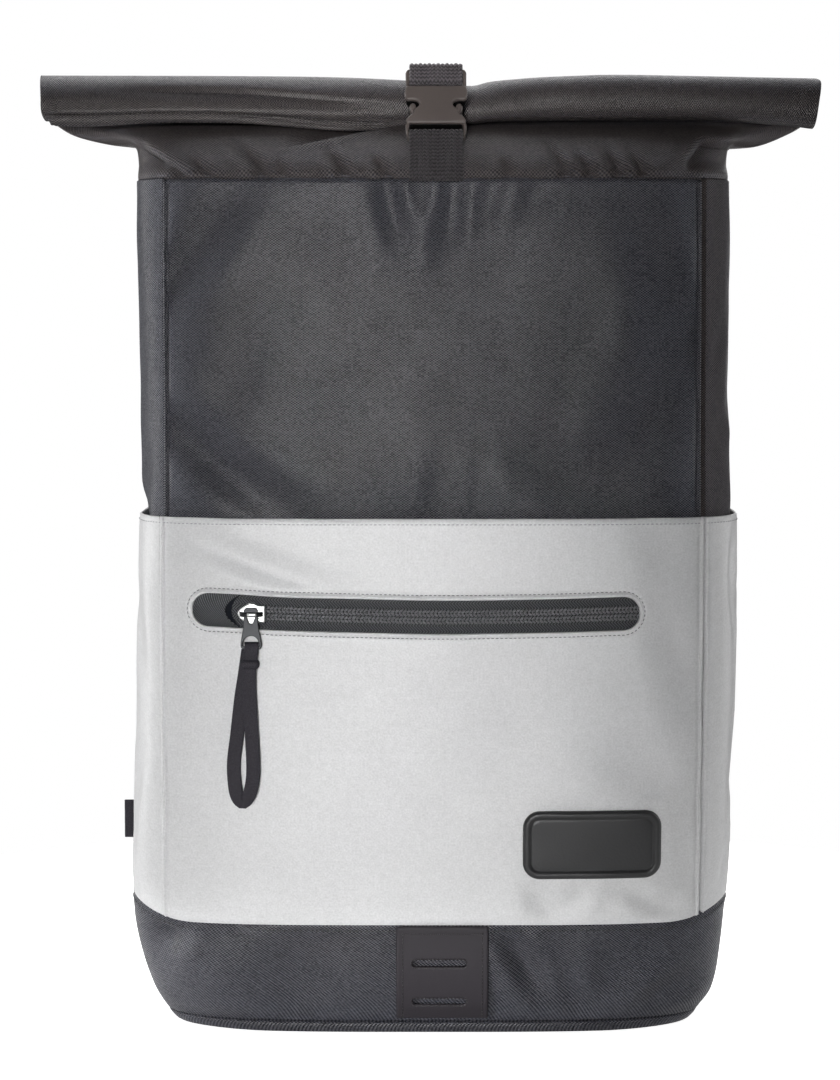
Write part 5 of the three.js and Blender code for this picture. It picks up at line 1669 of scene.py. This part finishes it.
class BACKPACK_OT_back(bpy.types.Operator):
    """Pad the back, and make the shoulder straps, their webbing and the haul loop"""

    bl_idname = "backpack.back"
    bl_label = "Back and straps"

    def execute(self, context):
        self.back_pad()
        for edge, mirror in SIDES:
            self.shoulder(edge, mirror)
            tail = webbing(f"strap_tail_{edge}", STRAP_TAIL * (mirror, 1, 1), 90, NARROW_WEBBING, 10)
            fit(tail, "webbing", f"strap_webbing_{edge}")
            self.adjuster(edge, mirror)
        fit(webbing("haul_loop_webbing", HAUL_LOOP, 120, WEBBING, 12), "webbing", "haul_loop")
        return {"FINISHED"}

    def back_pad(self):
        """Padded back: two columns of pads beside a hollow channel, sewn round its edge."""
        low, high = BASE_SEAM - 2.6, TOP_SEAM - 0.2
        half_x, half_z = BACK_HALF, (high - low) / 2
        u, v = np.meshgrid(np.linspace(-1, 1, 121), np.linspace(-1, 1, 151))
        x, z = u * half_x, v * half_z
        corner = np.where(z < 0, 10.0, 5.0)
        dx, dz = np.abs(x) - (half_x - corner), np.abs(z) - (half_z - corner)
        is_corner = (dx > 0) & (dz > 0)
        pull = np.where(is_corner, np.maximum(dx, dz) / np.maximum(np.hypot(dx, dz), 1e-9), 1)
        x = np.where(is_corner, np.sign(x) * (half_x - corner + dx * pull), x)
        z = np.where(is_corner, np.sign(z) * (half_z - corner + dz * pull), z)
        inset = np.minimum(half_x - np.abs(x), half_z - np.abs(z))
        crown = 1 - np.exp(-np.clip(inset, 0, None) / 7)
        rows = sum(hump(z, at, 2.6) for at in (-112, -56, 0, 56, 112)) * smoothstep(np.abs(x), 6, 20)
        deep = 1.6 + 6.6 * crown * (1 - 0.6 * hump(x, 0, 9)) * (1 - 0.42 * rows) * (1 - 0.4 * hump(inset, 9, 1.6))
        skin = grid_skin(np.stack([-x, BACK_PLANE + deep, z + (low + high) / 2], axis=-1))
        points, quads, corners = skin
        inner = points.copy()
        inner[:, 1] = BACK_PLANE + 0.2
        count = len(points)
        a, b, rim_uv = open_edges(skin)
        faces = np.concatenate([quads, quads[:, ::-1] + count, np.stack([b, a, a + count, b + count], axis=1)])
        uvs = np.concatenate([corners, corners[:, ::-1], rim_uv])
        pad = new_piece("back_pad", (np.concatenate([points, inner]), faces, uvs), finish("back_spacer"))
        fit(pad, "back_mesh", "back_panel")

    def shoulder(self, edge, mirror):
        """Padded shoulder strap with a bound edge."""
        path = smooth_path(SHOULDER * (mirror, 1, 1), 110)
        across, normal = path_frames(path, np.tile((1.0, 0, 0), (len(path), 1)))
        angle = np.linspace(0, 2 * math.pi, 49)[:-1]
        w, t = bent(np.cos(angle), 0.45), bent(np.sin(angle), 0.7)
        groove = 1 - 0.4 * hump(np.abs(w), 0.8, 0.05)
        loops = []
        for i, centre in enumerate(path):
            share = i / (len(path) - 1)
            wide = SHOULDER_WIDTH / 2 * (1 - 0.3 * smoothstep(share, 0.82, 1) - 0.12 * (1 - smoothstep(share, 0, 0.12)))
            full = STRAP_PAD / 2 * (0.55 + 0.45 * math.sin(math.pi * min(max(share * 1.1, 0.08), 0.92)) ** 0.5)
            loops.append(centre + np.outer(w * wide, across[i]) + np.outer(t * groove * full, normal[i]))
        strap = loft(f"shoulder_pad_{edge}", np.array(loops), "back_spacer")
        fit(strap, "back_mesh", f"shoulder_strap_{edge}")

    def adjuster(self, edge, mirror):
        """Ladder lock: a frame with three bars."""
        place = in_frame((np.array(ADJUSTER) * (mirror, 1, 1), (1, 0, 0), (0, 0, 1), (0, 1, 0)))
        outline = rounded(mirrored([(14.8, -3.2), (14.8, 3.2)]), 1)
        holes = [rounded(mirrored([(11.4, at - 0.8), (11.4, at + 0.8)]), 0.4) for at in (-1.35, 1.35)]
        lock = plate(f"ladder_lock_{edge}", outline, 5.6, 0.5, place, "buckle_plastic", holes)
        fit(lock, "buckle", f"strap_adjuster_{edge}")


class BACKPACK_OT_stitching(bpy.types.Operator):
    """Sew the visible seams"""

    bl_idname = "backpack.stitching"
    bl_label = "Stitching"

    def execute(self, context):
        self.grey()
        self.dark()
        self.behind()
        return {"FINISHED"}

    def grey(self):
        """Pocket tops and the line round the zip window."""
        edge = POCKET_TOP - 2.3
        lines = [on_front(pocket_y, np.linspace(POCKET_SEAM[0] + 2, POCKET_SEAM[1] - 2, 160), edge, 0.1)]
        for _, side in SIDES:
            row = side_points(POCKET_SIDES, side, np.array([edge]))[0]
            lines.append((row[1:] if side > 0 else row[:-1]) + (side * 0.1, 0, 0))
        sew("pocket_top_stitches", lines, "pale_thread", "grey_cloth")
        window = stadium(ZIP["left"], ZIP["right"], ZIP["z"], ZIP["high"], 2.2)
        sew("zip_window_stitches", [pocket_points(*window, 0.1)], "grey_thread", "grey_cloth")

    def dark(self):
        """Base band, lash patch and roll hem."""
        height = BASE_SEAM - 2.6
        ring = ring_outline(curve_at(BASE, height), 300)
        ring = np.concatenate([ring, ring[:1]])
        line = np.column_stack([ring * 1.0015, height + seam_rise(ring[:, 0], ring[:, 1], height)])
        sew("base_band_stitches", [line], "black_thread", "base_cloth", 0.0026)
        left, right = PATCH["left"] + 2.6, PATCH["right"] - 2.4
        low, high = PATCH["bottom"] + 1, PATCH["top"] - 3.2
        lines = [on_front(patch_y, x, np.linspace(low, high, 30), 0.1) for x in (left, right)]
        lines.append(on_front(patch_y, np.linspace(left, right, 30), high, 0.1))
        # Dark stitches round each slot: partly real stitching and partly painted shadow along the slots' edges.
        for middle, z, long, tall in LASH_SLOTS:
            lines.append(on_front(patch_y, *stadium(middle - long / 2, middle + long / 2, z, tall, 0.2), 0.05))
        sew("lash_patch_stitches", lines, "dark_thread", "lash_patch", 0.0019)
        lines = [[hem_place(x, drop, 0.5) for x in np.linspace(-181, -30, 150)] for drop in (0.3, 1.5)]
        sew("roll_hem_stitches", lines, "dark_thread", "black_cloth", 0.0022)

    def behind(self):
        """Edge of the padded back."""
        low, high = BASE_SEAM - 2.6 + 9, TOP_SEAM - 0.2 - 9
        half = BACK_HALF - 9
        corners = rounded([(-half, low), (half, low), (half, high), (-half, high)], 12, 10)
        loop = np.concatenate([corners, corners[:1]])
        line = np.column_stack([loop[:, 0], np.full(len(loop), BACK_PLANE + 4.9), loop[:, 1]])
        sew("back_pad_stitches", [line], "black_thread", "back_mesh", 0.003)


def aimed(made, place, target):
    """Sets an object at a place and turns it to a target."""
    made.location = place
    made.rotation_euler = (Vector(target) - Vector(place)).to_track_quat("-Z", "Y").to_euler()
    return made


class BACKPACK_OT_stage(bpy.types.Operator):
    """Set the floor, the soft lights and the camera"""

    bl_idname = "backpack.stage"
    bl_label = "Stage"

    def execute(self, context):
        scene = context.scene
        scene.view_settings.view_transform = "Standard"
        scene.view_settings.look = "None"
        turn = np.linspace(0, 2 * math.pi, 97)[:-1]
        disc = np.column_stack([np.cos(turn) * FLOOR_RADIUS, np.sin(turn) * FLOOR_RADIUS, np.full(96, -0.2)])
        floor = new_piece("studio_floor", (disc, [range(96)], [disc[:, :2]]), self.paper())
        self.sky(scene)
        for name, place, target, size, spread, power in LAMPS:
            light = bpy.data.lights.new(name, "AREA")
            light.shape, light.size, light.size_y, light.energy = "RECTANGLE", *size, power
            light.spread = math.radians(spread)
            aimed(placed(name, light), place, target)
        place, target, length = CAMERA
        lens = bpy.data.cameras.new("photo_camera")
        lens.sensor_width, lens.lens = 36, length
        scene.camera = aimed(placed("photo_camera", lens), place, target)
        return {"FINISHED"}

    def paper(self):
        """Plain white floor paper, brighter where the camera looks at it than as a light."""
        made = Finish("floor_paper", (0.9, 0.9, 0.9), 0.8, 0.1, Emission_Color=(1, 1, 1, 1))
        seen = made.add("ShaderNodeLightPath").outputs["Is Camera Ray"]
        made.feed("Emission Strength", made.span(seen, 0.0, 1.0, 0.2, 0.9))
        return made.material

    def sky(self, scene):
        """Even white surroundings, brighter where the camera looks at them than as a light."""
        world = bpy.data.worlds.new("studio_white")
        scene.world = world
        world.use_nodes = True
        nodes, links = world.node_tree.nodes, world.node_tree.links
        path, level = nodes.new("ShaderNodeLightPath"), nodes.new("ShaderNodeMapRange")
        level.inputs[3].default_value, level.inputs[4].default_value = 0.015, 1.0
        links.new(path.outputs["Is Camera Ray"], level.inputs[0])
        links.new(level.outputs[0], nodes["Background"].inputs["Strength"])
        nodes["Background"].inputs["Color"].default_value = (1, 1, 1, 1)


PIECES = (
    BACKPACK_OT_stage, BACKPACK_OT_body, BACKPACK_OT_base, BACKPACK_OT_pockets, BACKPACK_OT_zip, BACKPACK_OT_badge,
    BACKPACK_OT_top, BACKPACK_OT_buckle, BACKPACK_OT_back, BACKPACK_OT_stitching,
)


class BACKPACK_PT_panel(bpy.types.Panel):
    """Lists the backpack's sizes, colours and pieces."""

    bl_idname = "BACKPACK_PT_panel"
    bl_label = "Backpack"
    bl_space_type = "VIEW_3D"
    bl_region_type = "UI"
    bl_category = "Backpack"

    def draw(self, context):
        for group in (context.scene.backpack_sizes, context.scene.backpack_colours):
            box = self.layout.box()
            for name in group.__annotations__:
                box.prop(group, name)
        for operator in PIECES:
            self.layout.operator(operator.bl_idname)


CLASSES = (BackpackSizes, BackpackColours, *PIECES, BACKPACK_PT_panel)


def register():
    for made in CLASSES:
        bpy.utils.register_class(made)
    bpy.types.Scene.backpack_sizes = PointerProperty(type=BackpackSizes)
    bpy.types.Scene.backpack_colours = PointerProperty(type=BackpackColours)


def unregister():
    del bpy.types.Scene.backpack_colours
    del bpy.types.Scene.backpack_sizes
    for made in reversed(CLASSES):
        bpy.utils.unregister_class(made)


def main():
    """Builds the bag piece by piece."""
    register()
    bpy.ops.backpack.stage()
    bpy.ops.backpack.body()
    bpy.ops.backpack.base()
    bpy.ops.backpack.pockets()
    bpy.ops.backpack.zip()
    bpy.ops.backpack.badge()
    bpy.ops.backpack.top()
    bpy.ops.backpack.buckle()
    bpy.ops.backpack.back()
    bpy.ops.backpack.stitching()


if __name__ == "__main__":
    main()
